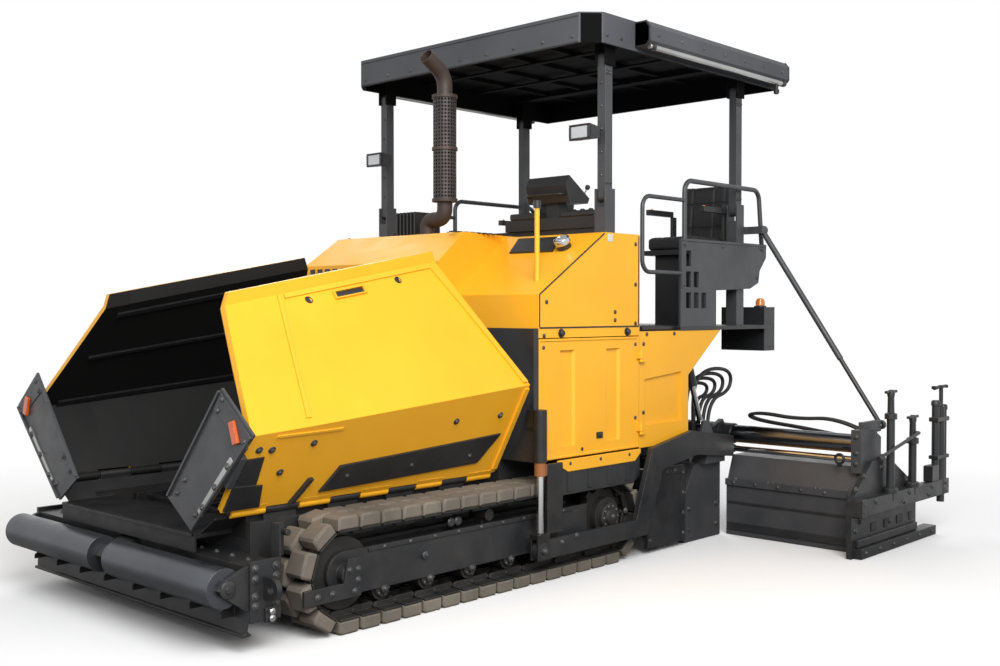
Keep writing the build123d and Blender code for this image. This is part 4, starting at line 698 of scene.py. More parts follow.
def wing_details():
    ten = spread(0, 1, 10)
    two = (0, 1)
    for side, tag in SIDES:
        body = f"wing_{tag}"
        yellow, black, bolts, steel = kits(body, f"wing_trim_{tag} yellow_paint",
            f"wing_wear_{tag} black_paint", f"wing_bolts_{tag} zinc_bolt", f"wing_ribs_{tag} worn_steel",
            side=side)
        for kit, face, us, vs, near, far, *corners in (
                (black, wing_low, ten, two, SUNK, 0.012,
                 (-2.21, 0.106), (-0.945, 0.163), (-0.826, 0.478), (-2.13, 0.413)),
                (black, wing_low, two, two, 0.012, 0.016,
                 (-2.205, 0.12), (-2.165, 0.12), (-2.105, 0.405), (-2.135, 0.4)),
                (black, wing_low, two, two, SUNK, 0.022,
                 (-2.4, 0.02), (-2.37, 0.02), (-2.3, 0.31), (-2.33, 0.31)),
                (black, wing_low, two, two, SUNK, 0.007,
                 (-2.825, 0.03), (-2.66, 0.03), (-2.7, 0.7), (-2.825, 0.7)),
                (black, wing_low, two, two, 0.007, 0.013,
                 (-2.825, 0.03), (-2.6, 0.03), (-2.64, 0.33), (-2.825, 0.36)),
                (yellow, wing_up, two, ten, SUNK, 0.008,
                 (-2.478, 0.06), (-2.45, 0.06), (-2.25, 0.995), (-2.278, 0.995)),
                (yellow, wing_up, two, ten, SUNK, 0.014,
                 (-0.775, 0.02), (-0.735, 0.02), (-1.055, 0.98), (-1.095, 0.98)),
                (yellow, wing_low, two, ten, SUNK, 0.014,
                 (-0.765, 0.05), (-0.725, 0.05), (-0.725, 0.97), (-0.765, 0.97)),
                (yellow, wing_low, ten, two, SUNK, 0.006,
                 (-2.67, 0.925), (-2.23, 0.88), (-2.23, 0.91), (-2.67, 0.955)),
                (yellow, wing_up, ten, two, SUNK, 0.01,
                 (-2.24, 0.955), (-1.09, 0.955), (-1.06, 0.995), (-2.232, 0.995))):
            kit.skin(patch(face, corners), us, vs, near, far)
        # The handle's recess: a frame of four strips round a black back
        for kit, y0, y1, v0, v1, far in (
                (yellow, -1.905, -1.665, 0.868, 0.878, 0.016), (yellow, -1.905, -1.665, 0.922, 0.932, 0.016),
                (yellow, -1.905, -1.893, 0.878, 0.922, 0.016), (yellow, -1.677, -1.665, 0.878, 0.922, 0.016),
                (black, -1.893, -1.677, 0.878, 0.922, 0.003)):
            kit.skin(patch(wing_up, [(y0, v0), (y1, v0), (y1, v1), (y0, v1)]), two, two, SUNK, far)
        for y, v in ((-2.084, 0.91), (-1.379, 0.92)):
            spot, normal = wing_up(y, v)
            black.lathe(spot, normal, [(SUNK, 0.026), (0.003, 0.026), (0.003, 0.019), (0.001, 0.018)])
        for y, v in ((-2.402, 0.772), (-2.667, 0.773), (-2.75, 0.8), (-2.55, 0.45), (-1.3, 0.72),
                (-0.9, 0.7)):
            spot, normal = wing_low(y, v)
            bolts.bolt(spot, 0.013, normal)
        for y in (-2.05, -1.55, -1.05):
            spot, normal = wing_low(y, 0.27)
            bolts.bolt(spot + normal * 0.011, 0.01, normal)
        for low, high in ((0.04, 0.085), (0.5, 0.53), (0.9, 0.94)):
            first, last = -2.7 + 0.2 * high, -0.85 - 0.2 * high
            corners = [(first, low), (last, low), (last, high), (first, high)]
            steel.skin(patch(wing_back, corners), ten, two, 0.036, 0.052)
        plate_details(side, tag, body)
        done(yellow, black, bolts, steel)


def plate_details(side, tag, body):
    grey, strip, bolts, mark = kits(
        body, f"wing_plate_trim_{tag} grey_paint", f"wing_plate_strip_{tag} bright_strip",
        f"wing_plate_bolts_{tag} zinc_bolt", f"wing_reflector_{tag} reflector", side=side)
    front = WING_PLATE_FRONT
    grey.plate(at_y(front + 0.002, (1.052, 1.372), (1.318, 1.16), (1.286, 1.085), (0.985, 1.275)),
        (0, -0.008, 0), 0.002)
    y = front - 0.004
    grey.bar((1.326, y, 1.158), (0.768, y, 0.614), (0, 0.02, 0), (0.01, 0, -0.01))
    grey.bar((0.53, y, 0.772), (1.046, y, 1.378), (0, 0.02, 0), (0.01, 0, -0.009))
    y = front - 0.003
    strip.bar((1.158, y, 1.027), (0.847, y, 0.71), (0, 0.012, 0), (0.03, 0, -0.03))
    bolts.bolts([(1.158 - 0.311 * t, front - 0.009, 1.027 - 0.317 * t) for t in (0.12, 0.5, 0.88)], 0.012,
        AHEAD)
    bolts.bolts(at_y(front - 0.006, (1.07, 1.335), (1.03, 1.275), (1.27, 1.13)), 0.01, AHEAD)
    bolts.bolts(at_y(front, (0.62, 0.8), (0.7, 0.88), (0.8, 0.7)), 0.012, AHEAD)
    y = front - 0.012
    mark.bar((1.205, y, 1.112), (1.165, y, 1.228), (0.042, 0, 0.014), (0, 0.02, 0), 0.004)
    done(grey, strip, bolts, mark)


# Push beam: end plates, pins, gussets and the lower skirt
def push_details():
    bolts, pins, black = kits("tractor", "push_beam_bolts zinc_bolt", "push_beam_pins bright_rod",
                              "push_beam_plates black_paint")
    for _ in both_sides(bolts, pins, black):
        bolts.bolts(grid(1.215, (-2.79, -2.66), (0.26, 0.31, 0.4, 0.455)), 0.014)
        for z in (0.222, 0.186):
            pins.rod((1.1, -2.7, z), (1.247, -2.7, z), 0.014)
            pins.rod((1.238, -2.7, z), (1.244, -2.7, z), 0.019)
        black.block((1.212, -2.735, 0.168), (1.228, -2.665, 0.245), 0.003)
        black.lathe((1.192, -2.945, 0.371), OUT, [
            (-0.004, 0.046), (0.01, 0.046), (0.014, 0.04), (0.014, 0.02), (0.022, 0.018)], 24)
        bolts.bolts(grid(spread(0.15, 1.05, 7), -2.72, 0.47), 0.012, UP)
        for x in spread(0.16, 1.06, 4):
            black.plate(at_x(x, (-2.815, 0.285), (-2.905, 0.215), (-2.905, 0.19), (-2.815, 0.19)),
                (0.012, 0, 0), 0.002)
        black.block((1.085, -2.6, 0.47), (1.1, -2.525, 0.655), 0.003)
        black.block((1.1, -2.6, 0.47), (1.165, -2.59, 0.655), 0.003)
        black.rod((1.092, -2.56, 0.61), (1.19, -2.56, 0.61), 0.018)
    black.plate([(-1.185, -2.832, 0.112), (1.185, -2.832, 0.112), (1.205, -2.818, 0.262),
        (-1.205, -2.818, 0.262)], (0, 0.012, 0), 0.003)
    black.block((-1.185, -2.85, 0.1), (1.185, -2.8, 0.118))
    done(bolts, pins, black)


# Hopper: rubber seals between floor and wings, and the apron's wear edge
def hopper_details():
    seals, steel = kits("tractor", "hopper_seals rubber_hose", "hopper_wear_strips worn_steel")
    for _ in both_sides(seals):
        seals.plate(at_y(-2.825, (0.75, 0.59), (0.892, 0.682), (0.897, 0.674), (0.755, 0.582)), (0, 2.08, 0),
            0.002)
    steel.bar((-0.745, -2.872, 0.58), (0.745, -2.872, 0.58), (0, 0.01, 0), (0, 0, 0.016))
    done(seals, steel)


# Exhaust: bent pipe and a perforated guard
PIPE_X, PIPE_Y = 0.05, -0.29
PIPE_FOOT_X = -0.14
PIPE_SIDES = 28
BORE_RINGS = 10
GUARD_RADII = (0.0865, 0.0835)
GUARD_LOW, GUARD_HIGH = 2.598, 3.388
GUARD_COLUMNS, GUARD_ROWS = 22, 30
HOLE = 0.33


def exhaust():
    pipe, guard = kits("tractor", "exhaust_pipe rusty_steel", "exhaust_guard guard_steel")
    line = list(sweep(bent([(PIPE_FOOT_X, PIPE_Y, 2.352), (PIPE_FOOT_X, PIPE_Y, 2.472),
        (PIPE_X, PIPE_Y, 2.472), (PIPE_X, PIPE_Y, 3.53), (PIPE_X, -0.48, 3.65)], 0.085, 8), Vector(OUT)))
    skin = [ring(p, u, v, 0.0575, PIPE_SIDES) for p, u, v in line]
    bore = [ring(p, u, v, 0.0505, PIPE_SIDES) for p, u, v in line[-BORE_RINGS:]]
    pipe.loft(skin + bore[::-1])
    for z in (2.61, 2.99, 3.375):
        pipe.lathe((PIPE_X, PIPE_Y, z), UP, [
            (-0.012, 0.0572), (-0.012, 0.0955), (0.012, 0.0955), (0.012, 0.0572)], 32, True)
    pipe.lathe((PIPE_FOOT_X, PIPE_Y, 2.358), UP, [(-0.006, 0.085), (0.008, 0.085), (0.012, 0.078),
        (0.012, 0.058)], 28)
    perforated(guard)
    pipe.done("exhaust")
    guard.done("exhaust")


def perforated(kit):
    step = 2 * pi / GUARD_COLUMNS
    rise = (GUARD_HIGH - GUARD_LOW) / GUARD_ROWS
    grids = []
    holes = []
    for radius in GUARD_RADII:
        def spot(i, j):
            return kit.vert((PIPE_X + radius * cos(i * step), PIPE_Y + radius * sin(i * step),
                GUARD_LOW + j * rise))
        grid = [[spot(i, j) for i in range(GUARD_COLUMNS)] for j in range(GUARD_ROWS + 1)]
        grids.append(grid)
        holes.append([])
        for j in range(GUARD_ROWS):
            for i in range(GUARD_COLUMNS):
                m = (i + 1) % GUARD_COLUMNS
                square = (grid[j][i], grid[j][m], grid[j + 1][m], grid[j + 1][i])
                turns = [radians(45 * k - 112.5) for k in range(8)]
                hole = [spot(i + 0.5 + HOLE * cos(t), j + 0.5 + HOLE * sin(t)) for t in turns]
                for k in range(4):
                    a, b = hole[2 * k], hole[2 * k + 1]
                    kit.mesh.faces.new((square[k], square[(k + 1) % 4], b, a))
                    kit.mesh.faces.new((square[(k + 1) % 4], hole[(2 * k + 2) % 8], b))
                holes[-1].append(hole)
    pairs = list(zip(*holes)) + [(grids[0][row], grids[1][row]) for row in (0, GUARD_ROWS)]
    for near, far in pairs:
        for k in range(len(near)):
            m = (k + 1) % len(near)
            kit.mesh.faces.new((near[k], near[m], far[m], far[k]))


# Hood, doors and side panels
HOOD_OUT = Vector((0, -0.532, 0.847))
PANEL_X = 1.244
BOLT_X = 1.246
SEAM_X = 1.2465
SEAM = (0.006, 0, 0)


def hood_details():
    bolts, black, lens, rings, pale, handle = kits(
        "tractor", "hood_bolts zinc_bolt", "hood_trim moulded_black", "hood_lamp_lenses clear_lens",
        "hood_lamp_rings bright_rod", "hood_blank_plates pale_plate", "hood_handle moulded_black")
    for _ in both_sides(bolts, black, lens, rings, pale):
        for y in (-0.371, 0.36):
            black.lathe((PANEL_X, y, 1.642), OUT, [
                (0, 0.03), (0.006, 0.03), (0.008, 0.02), (0.02, 0.022), (0.026, 0.017)])
        bolts.bolts(at_x(BOLT_X, (0.219, 1.783), (0.219, 1.726), (-0.545, 1.626), (0.46, 1.7), (0.46, 2.27),
                         (-0.52, 1.85), (0.46, 1.98)), 0.009)
        for start, end, up in (((-0.59, 1.9), (0.098, 2.332), (0, -0.005, 0.008)),
                               ((-0.59, 1.684), (-0.59, 1.9), (0, 0.009, 0)),
                               ((0.498, 1.684), (0.498, 2.33), (0, 0.009, 0)),
                               ((-0.59, 1.68), (0.5, 1.68), (0, 0, 0.01))):
            black.bar((SEAM_X, *start), (SEAM_X, *end), SEAM, up, 0.001)
        pale.block((1.2455, 0.135, 2.275), (1.2485, 0.19, 2.33), 0.001)
        trapezoid = [(0.477, 0.059, 2.314), (0.876, 0.056, 2.312), (0.96, -0.121, 2.201),
            (0.549, -0.121, 2.201)]
        black.plate([Vector(p) + HOOD_OUT * 0.002 for p in trapezoid], HOOD_OUT * 0.012)
        spot = Vector((1.03, -0.075, 2.23)) + HOOD_OUT * 0.068
        rings.lathe(spot, HOOD_OUT, [
            (-0.03, 0.0505), (-0.03, 0.058), (0.004, 0.058), (0.01, 0.054), (0.01, 0.046), (0.004, 0.044)],
            32, True)
        lens.lathe(spot, HOOD_OUT, [(0.0, 0.046), (0.004, 0.046), (0.009, 0.034), (0.012, 0.016)], 28)
    for y in spread(-0.55, -0.05, 9):
        black.block((0.36, y, 2.349), (0.4, y + 0.036, 2.358), 0.002)
    for x in spread(-0.86, 0.3, 14):
        black.bar((x, -0.812, 1.965), (x, -0.812, 2.105), (0.052, 0, 0), (0, 0.01, 0), 0.002)
    bolts.bolts(grid((-0.9, -0.48, 0.22), (-0.42, 0.24), 2.352), 0.01, UP)
    handle.run(bent(at_x(-0.75, (-0.1, 2.35), (-0.1, 2.405), (0.06, 2.405), (0.06, 2.35)), 0.03), 0.01)
    done(bolts, black, lens, rings, pale, handle)


def door_details():
    for side, tag in SIDES:
        black, bolts, yellow = kits(f"door_{tag}", f"door_latches_{tag} moulded_black",
            f"door_bolts_{tag} zinc_bolt", f"door_folds_{tag} yellow_paint", side=side)
        black.lathe((PANEL_X, -0.555, 0.878), OUT, [(0, 0.022), (0.006, 0.022), (0.01, 0.014),
            (0.014, 0.012)])
        black.block((1.2445, 0.01, 0.905), (1.254, 0.075, 0.95))
        black.lathe((1.253, 0.042, 0.928), OUT, [(0, 0.017), (0.006, 0.016), (0.008, 0.011)], 20)
        black.lathe((PANEL_X, -0.147, 0.847), OUT, [(0, 0.012), (0.006, 0.012), (0.009, 0.008)], 16)
        bolts.bolts(grid(BOLT_X, (-0.55, 0.46), (1.02, 1.55)), 0.008)
        bolts.bolts(grid(1.248, 0.487, (0.935, 0.965, 1.46, 1.49)), 0.006)
        yellow.block((PANEL_X, -0.585, 0.803), (1.254, 0.5, 0.822), 0.003)
        yellow.block((PANEL_X, -0.585, 1.588), (1.252, 0.47, 1.603), 0.003)
        done(black, bolts, yellow)


# Sill skirts between the doors and the tracks
def skirt_details():
    black, bolts, yellow = kits("tractor", "sill_skirts black_paint", "sill_bolts zinc_bolt",
                                "sill_flanges yellow_paint")
    for _ in both_sides(black, bolts, yellow):
        black.plate(at_x(1.2525, (-0.43, 0.79), (0.5, 0.79), (0.5, 0.6), (0.42, 0.555), (-0.43, 0.555)),
                    (0.008, 0, 0), 0.002)
        for y in spread(-0.3, 0.36, 4):
            black.block((1.258, y - 0.02, 0.575), (1.268, y + 0.02, 0.715))
        yellow.plate(at_x(1.2595, (-0.43, 0.794), (0.5, 0.794), (0.5, 0.765), (0.43, 0.71), (-0.32, 0.71),
                          (-0.43, 0.765)), (0.01, 0, 0), 0.003)
        bolts.bolts(grid(1.269, (-0.3, 0.03, 0.36), 0.765), 0.007)
    done(black, bolts, yellow)


# Rear quarters, entry steps and rear lamps
LAMP_LENS = [(0, 0.045), (0.01, 0.045), (0.016, 0.036), (0.018, 0.015)]


def quarter_details():
    bolts, black, lens, amber = kits("tractor", "quarter_bolts zinc_bolt", "entry_steps black_paint",
                                     "rear_lamp_lenses red_lens", "beacons amber_lens")
    for _ in both_sides(bolts, black, lens, amber):
        bolts.bolts(at_x(BOLT_X, (0.56, 1.55), (0.56, 1.05), (0.95, 1.62), (0.6, 1.62)), 0.009)
        for x in spread(0.72, 1.16, 12):
            for y in spread(0.62, 1.38, 16):
                shift = 0.012 if round(y * 100) % 2 else -0.012
                black.bar((x - 0.01, y + shift, 1.6705), (x + 0.01, y - shift, 1.6705), (0.006, 0.003, 0),
                          (0, 0, 0.005), 0.001)
        black.block((1.186, 0.6, 1.648), (1.206, 1.02, 1.676))
        lens.lathe((0.88, 2.529, 1.62), BACK, LAMP_LENS)
        amber.lathe((1.0, 2.529, 1.62), BACK, LAMP_LENS)
        amber.lathe((1.1, 2.445, 1.818), UP, [(0, 0.04), (0.05, 0.04), (0.072, 0.032), (0.08, 0.015)])
        black.lathe((1.1, 2.445, 1.815), UP, [(0, 0.052), (0.014, 0.052), (0.018, 0.044)])
        black.run(bent([(0.8, 2.527, 1.76), (0.8, 2.56, 1.76), (1.16, 2.56, 1.76), (1.16, 2.527, 1.76)],
            0.02), 0.009)
        bolts.bolts(grid((0.79, 1.17), 2.53, (1.475, 1.8)), 0.009, BACK)
    done(bolts, black, lens, amber)


# Console: its face slopes down towards the seats
FACE_UP = Vector((0, 0.555, 0.832))
FACE_DOWN = Vector((0, 0.832, -0.555))
FACE_TOP = Vector((0.51, 0.36, 2.802))


def on_face(x, down, up):
    return FACE_TOP + Vector((x, 0, 0)) + FACE_DOWN * down + FACE_UP * up


def console_details():
    black, screen, marks, chrome = kits("console", "console_knobs moulded_black",
        "console_screen screen_glass", "console_buttons reflector", "console_levers bright_rod")
    for kit, x0, x1, low, high, thick, base in ((black, -0.185, 0.185, 0.012, 0.275, 0.006, -0.001),
                                                (screen, -0.15, 0.02, 0.03, 0.15, 0.005, 0.005)):
        kit.plate([on_face(x, d, base) for x, d in ((x0, low), (x1, low), (x1, high), (x0, high))],
                  FACE_UP * thick, 0.002)
    for row, count, start in ((0.045, 3, 0.06), (0.085, 3, 0.06), (0.125, 3, 0.06), (0.185, 8, -0.15),
                              (0.225, 8, -0.15)):
        for i in range(count):
            kit = marks if (i + round(row * 1000)) % 5 == 0 else black
            kit.lathe(on_face(start + i * 0.04, row, 0.004), FACE_UP, [(0, 0.013), (0.01, 0.012),
                (0.013, 0.008)], 16)
    for x in (-0.15, 0.165):
        chrome.run([on_face(x, 0.255, up) for up in (0.0, 0.03, 0.07)], 0.006)
        black.lathe(on_face(x, 0.255, 0.065), FACE_UP, [
            (0, 0.01), (0.01, 0.018), (0.028, 0.02), (0.036, 0.012)], 18)
    black.run(bent([(0.34, 0.345, 2.66), (0.34, 0.29, 2.66), (0.68, 0.29, 2.66), (0.68, 0.345, 2.66)], 0.03),
        0.011)
    black.block((0.12, 0.35, 2.49), (0.4, 0.5, 2.54), 0.008)
    black.block((0.64, 0.35, 2.49), (0.92, 0.5, 2.535), 0.008)
    for x in (0.17, 0.25, 0.33, 0.7, 0.78, 0.86):
        black.lathe((x, 0.43, 2.533), UP, [(0, 0.02), (0.014, 0.018), (0.018, 0.012)], 18)
    done(black, screen, marks, chrome)


def rail_details():
    bolts, button, grey = kits("tractor", "rail_bolts zinc_bolt", "armrest_buttons reflector",
        "rail_folds grey_paint")
    for _ in both_sides(bolts, button, grey):
        bolts.bolts(at_x(1.25, (1.075, 2.3), (1.075, 1.99), (2.2, 2.3), (1.62, 2.3), (2.14, 2.06)), 0.01)
        grey.block((1.248, 1.045, 2.318), (1.256, 2.27, 2.336), 0.003)
        grey.block((1.248, 1.034, 1.96), (1.256, 1.052, 2.318), 0.003)
        for x in (0.585, 1.095):
            button.lathe((x, 1.58, 2.623), UP, [(0, 0.011), (0.008, 0.01), (0.011, 0.006)], 16)
    done(bolts, button, grey)


# Seats: padded cushions
SEAT_X = (0.614, 1.066)
SEAT_SEAMS_X = (0.735, 0.945)
SEATS_APART = 1.68
CORNER_ROUND = 0.018
VOXEL = 0.007
PRESSURE = 4.0
CLOTH_STEPS = 20
SWELL_CAP = 0.012
SEAM_DEPTH, SEAM_WIDTH = 0.01, 0.009


def pad_mesh(low_ring, high_ring, name):
    shell = bmesh.new()
    rows = [[shell.verts.new(p) for p in points] for points in (low_ring, high_ring)]
    for i in range(4):
        j = (i + 1) % 4
        shell.faces.new((rows[0][i], rows[0][j], rows[1][j], rows[1][i]))
    shell.faces.new(rows[0][::-1])
    shell.faces.new(rows[1])
    bmesh.ops.recalc_face_normals(shell, faces=shell.faces)
    bmesh.ops.bevel(shell, geom=shell.edges[:], offset=CORNER_ROUND, segments=3, profile=0.5, affect="EDGES")
    mesh = bpy.data.meshes.new(name)
    shell.to_mesh(mesh)
    shell.free()
    return put(name, mesh)


def bake(piece):
    graph = bpy.context.evaluated_depsgraph_get()
    mesh = bpy.data.meshes.new_from_object(piece.evaluated_get(graph))
    piece.modifiers.clear()
    piece.data = mesh


def swell(piece):
    remesh = piece.modifiers.new("remesh", "REMESH")
    remesh.mode = "VOXEL"
    remesh.voxel_size = VOXEL
    bake(piece)
    rest = [v.co.copy() for v in piece.data.vertices]
    cloth = piece.modifiers.new("cloth", "CLOTH")
    cloth.settings.use_pressure = True
    cloth.settings.uniform_pressure_force = PRESSURE
    cloth.settings.effector_weights.gravity = 0.0
    scene = bpy.context.scene
    for step in range(1, CLOTH_STEPS + 1):
        scene.frame_set(step)
    bake(piece)
    for vert, start in zip(piece.data.vertices, rest):
        move = vert.co - start
        if move.length > SWELL_CAP:
            vert.co = start + move.normalized() * SWELL_CAP
    scene.frame_set(1)


def groove(mesh, seams, front):
    """Sewn channels at (axis, place) seams, on the side of the cover that faces front."""
    for vert in mesh.vertices:
        normal = vert.normal.copy()
        share = normal.dot(front)
        if share > 0:
            for axis, place in seams:
                away = vert.co[axis] - place
                vert.co -= normal * (SEAM_DEPTH * share * exp(-(away / SEAM_WIDTH) ** 2))


def cushion(name, low, high, seams, front):
    """A cushion between two rectangles, each given as (first y, last y, z)."""
    x0, x1 = SEAT_X
    rings = [[(x0, y0, z), (x1, y0, z), (x1, y1, z), (x0, y1, z)] for y0, y1, z in (low, high)]
    piece = pad_mesh(*rings, name)
    swell(piece)
    groove(piece.data, [(0, x) for x in SEAT_SEAMS_X] + seams, Vector(front))
    smooth = piece.modifiers.new("smooth", "SUBSURF")
    smooth.levels = 1
    smooth.render_levels = 1
    bake(piece)
    piece.data.polygons.foreach_set("use_smooth", [True] * len(piece.data.polygons))
    piece.data.materials.clear()
    piece.data.materials.append(looks["seat_cover"])
    return piece


def seats():
    pieces = [cushion("seat_cushion_left", (1.464, 1.898, 2.286), (1.464, 1.898, 2.378),
        [(1, 1.6), (1, 1.75)], UP), cushion("seat_back_left", (1.934, 2.008, 2.31), (1.99, 2.058, 2.838),
        [(2, 2.48), (2, 2.68)], AHEAD)]
    for piece in pieces[:]:
        data = piece.data.copy()
        data.transform(Matrix.Translation((-SEATS_APART, 0, 0)))
        pieces.append(put(piece.name.replace("left", "right"), data))
    for piece in pieces:
        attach(piece, "tractor")
        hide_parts("seats")


# Canopy: awning cases, roof ribs, front trim and work lamps
AWNING_X, AWNING_Z = 1.385, 3.664


def canopy_details():
    roof, tube, black, ribs, bolts = kits(
        "canopy_roof", "awning_cases roof_panel", "awning_tubes bright_strip", "awning_caps moulded_black",
        "roof_ribs roof_panel", "roof_bolts zinc_bolt")
    for _ in both_sides(roof, tube, black, bolts):
        roof.plate(at_y(0.405, (1.27, 3.668), (1.372, 3.668), (1.404, 3.7), (1.404, 3.8), (1.372, 3.842),
                        (1.27, 3.842)), (0, 1.965, 0), 0.008)
        for y in (0.405, 2.358):
            black.plate(at_y(y, (1.268, 3.662), (1.375, 3.662), (1.409, 3.697), (1.409, 3.803),
                (1.375, 3.846), (1.268, 3.846)), (0, 0.014, 0), 0.003)
        tube.rod((AWNING_X, 0.43, AWNING_Z), (AWNING_X, 2.34, AWNING_Z), 0.019)
        for y in (0.47, 2.3):
            black.lathe((AWNING_X, y, AWNING_Z), BACK, [
                (-0.016, 0.02), (-0.016, 0.026), (0.016, 0.026), (0.016, 0.02)], 20, True)
        black.lathe((AWNING_X, 2.2, 3.655), (0, 0, -1), [
            (0, 0.014), (0.05, 0.012), (0.055, 0.024), (0.085, 0.022), (0.09, 0.012)], 18)
        bolts.bolts(grid(1.404, spread(0.52, 2.26, 7), 3.75), 0.008)
        bolts.bolts(grid(1.278, (0.08, 0.24), 3.7), 0.009)
    for x in spread(-0.84, 0.84, 5):
        ribs.block((x - 0.018, 0.02, 3.79), (x + 0.018, 2.33, 3.822))
    for y in (0.75, 1.35):
        ribs.block((-1.24, y - 0.03, 3.776), (1.24, y + 0.03, 3.79))
    for z in (3.657, 3.834):
        roof.bar((-1.155, -0.079, z), (1.155, -0.079, z), (0, 0.012, 0), (0, 0, 0.022))
    bolts.bolts(grid(spread(-1.1, 1.1, 9), -0.08, 3.69), 0.008, AHEAD)
    done(roof, tube, black, ribs, bolts)


def post_details():
    lens, frames, bolts = kits("canopy_front_posts", "work_lamp_lenses clear_lens",
        "work_lamp_frames lamp_body", "front_post_bolts zinc_bolt")
    rear = Kit("rear_post_bolts", "canopy_rear_posts", "zinc_bolt")
    for _ in both_sides(lens, frames, bolts, rear):
        lens.block((1.02, 0.003, 2.998), (1.17, 0.012, 3.082), 0.003)
        for x0, x1, z0, z1 in ((1.005, 1.185, 2.985, 2.999), (1.005, 1.185, 3.081, 3.095),
                               (1.005, 1.021, 2.999, 3.081), (1.169, 1.185, 2.999, 3.081)):
            frames.block((x0, -0.002, z0), (x1, 0.016, z1), 0.003)
        for z in spread(3.005, 3.075, 5):
            frames.block((1.02, 0.112, z - 0.004), (1.17, 0.126, z + 0.004), 0.002)
        for z in (2.7, 3.47):
            bolts.bolts([(1.195, y, z) for y in (0.19, 0.23)], 0.01)
            rear.bolts([(1.195, y, z) for y in (1.92, 1.96)], 0.01)
        bolts.bolts(grid(1.16, 0.17, spread(2.75, 3.4, 5)), 0.007, AHEAD)
    done(lens, frames, bolts, rear)


# Tow arms and auger box ends
def tow_details():
    black, bolts = kits("screed", "tow_point_parts black_paint", "tow_arm_bolts zinc_bolt")
    for _ in both_sides(black, bolts):
        black.lathe((1.324, -0.65, 0.235), OUT, [
            (0, 0.058), (0.01, 0.058), (0.016, 0.05), (0.016, 0.026), (0.026, 0.024), (0.03, 0.018)], 28)
        bolts.bolt((1.352, -0.65, 0.235), 0.012)
        bolts.bolts(at_x(1.325, (-0.45, 0.262), (-0.3, 0.285), (0.1, 0.36), (0.24, 0.385)), 0.012)
    done(black, bolts)
    bolts, trim = kits("tractor", "auger_box_bolts zinc_bolt", "auger_box_trim black_paint")
    for _ in both_sides(bolts, trim):
        bolts.bolts(grid(1.254, (0.635, 1.065), spread(0.1, 0.56, 4)), 0.011)
        bolts.bolts(grid(1.254, (0.74, 0.85, 0.96), 0.585), 0.011)
        for y0, y1, low in ((0.612, 0.66, 0.045), (1.04, 1.088, 0.045), (0.66, 1.04, 0.56)):
            trim.block((1.248, y0, low), (1.256, y1, 0.615), 0.003)
    done(bolts, trim)


# Main screed: front bar, boxes, pipes and bolts
def screed_details():
    black, bolts, pipes = kits("screed", "screed_trim black_paint", "screed_bolts zinc_bolt",
                               "screed_pipes bright_strip")
    for _ in both_sides(black, bolts, pipes):
        bolts.bolts(grid(1.215, (1.2, 1.58), (0.1, 0.26)), 0.013)
        bolts.bolts(grid(spread(0.12, 1.12, 7), 1.13, 0.3), 0.012, AHEAD)
        black.bar((0.05, 1.124, 0.245), (1.2, 1.124, 0.245), (0, 0.014, 0), (0, 0, 0.03))
        black.block((0.3, 1.3, 0.598), (0.66, 1.52, 0.69), 0.012)
        black.block((0.33, 1.33, 0.688), (0.63, 1.49, 0.7), 0.006)
        black.block((0.78, 1.32, 0.598), (1.02, 1.5, 0.66), 0.01)
        for x in spread(0.36, 0.6, 5):
            black.block((x, 1.29, 0.615), (x + 0.02, 1.302, 0.675), 0.002)
        for i, y in enumerate((1.555, 1.59, 1.625)):
            z = 0.635 + 0.012 * i
            pipes.run(bent([(0.2, y, 0.6), (0.2, y, z), (1.12, y, z), (1.12, y, 0.6)], 0.04), 0.009)
    done(black, bolts, pipes)


# Extensions and end gates
def extension_details():
    for side, tag in SIDES:
        black, bolts, steel = kits(f"extension_{tag}", f"extension_trim_{tag} black_paint",
                                   f"extension_bolts_{tag} zinc_bolt", f"extension_fittings_{tag} worn_steel",
                                   side=side)
        bolts.bolts(grid((1.33, 1.62, 1.66, 2.02, 2.06, 2.3), 1.69, 0.45), 0.01, UP)
        bolts.bolts(grid(spread(1.32, 2.3, 6), 1.67, 0.425), 0.009, AHEAD)
        black.bar((1.26, 1.685, 0.075), (2.37, 1.685, 0.075), (0, 0.014, 0), (0, 0, 0.055))
        black.bar((1.26, 1.687, 0.265), (2.37, 1.687, 0.265), (0, 0.01, 0), (0, 0, 0.018))
        bolts.bolts(grid(2.34, 1.699, (0.66, 0.74, 0.86)), 0.012, AHEAD)
        turns = [2 * pi * k / 20 for k in range(21)]
        steel.run([(2.215 + 0.034 * cos(t), 1.69, 0.69 + 0.034 * sin(t)) for t in turns], 0.01)
        steel.block((2.2, 1.682, 0.63), (2.23, 1.7, 0.66), 0.003)
        gate_details(black, bolts, steel)
        done(black, bolts, steel)


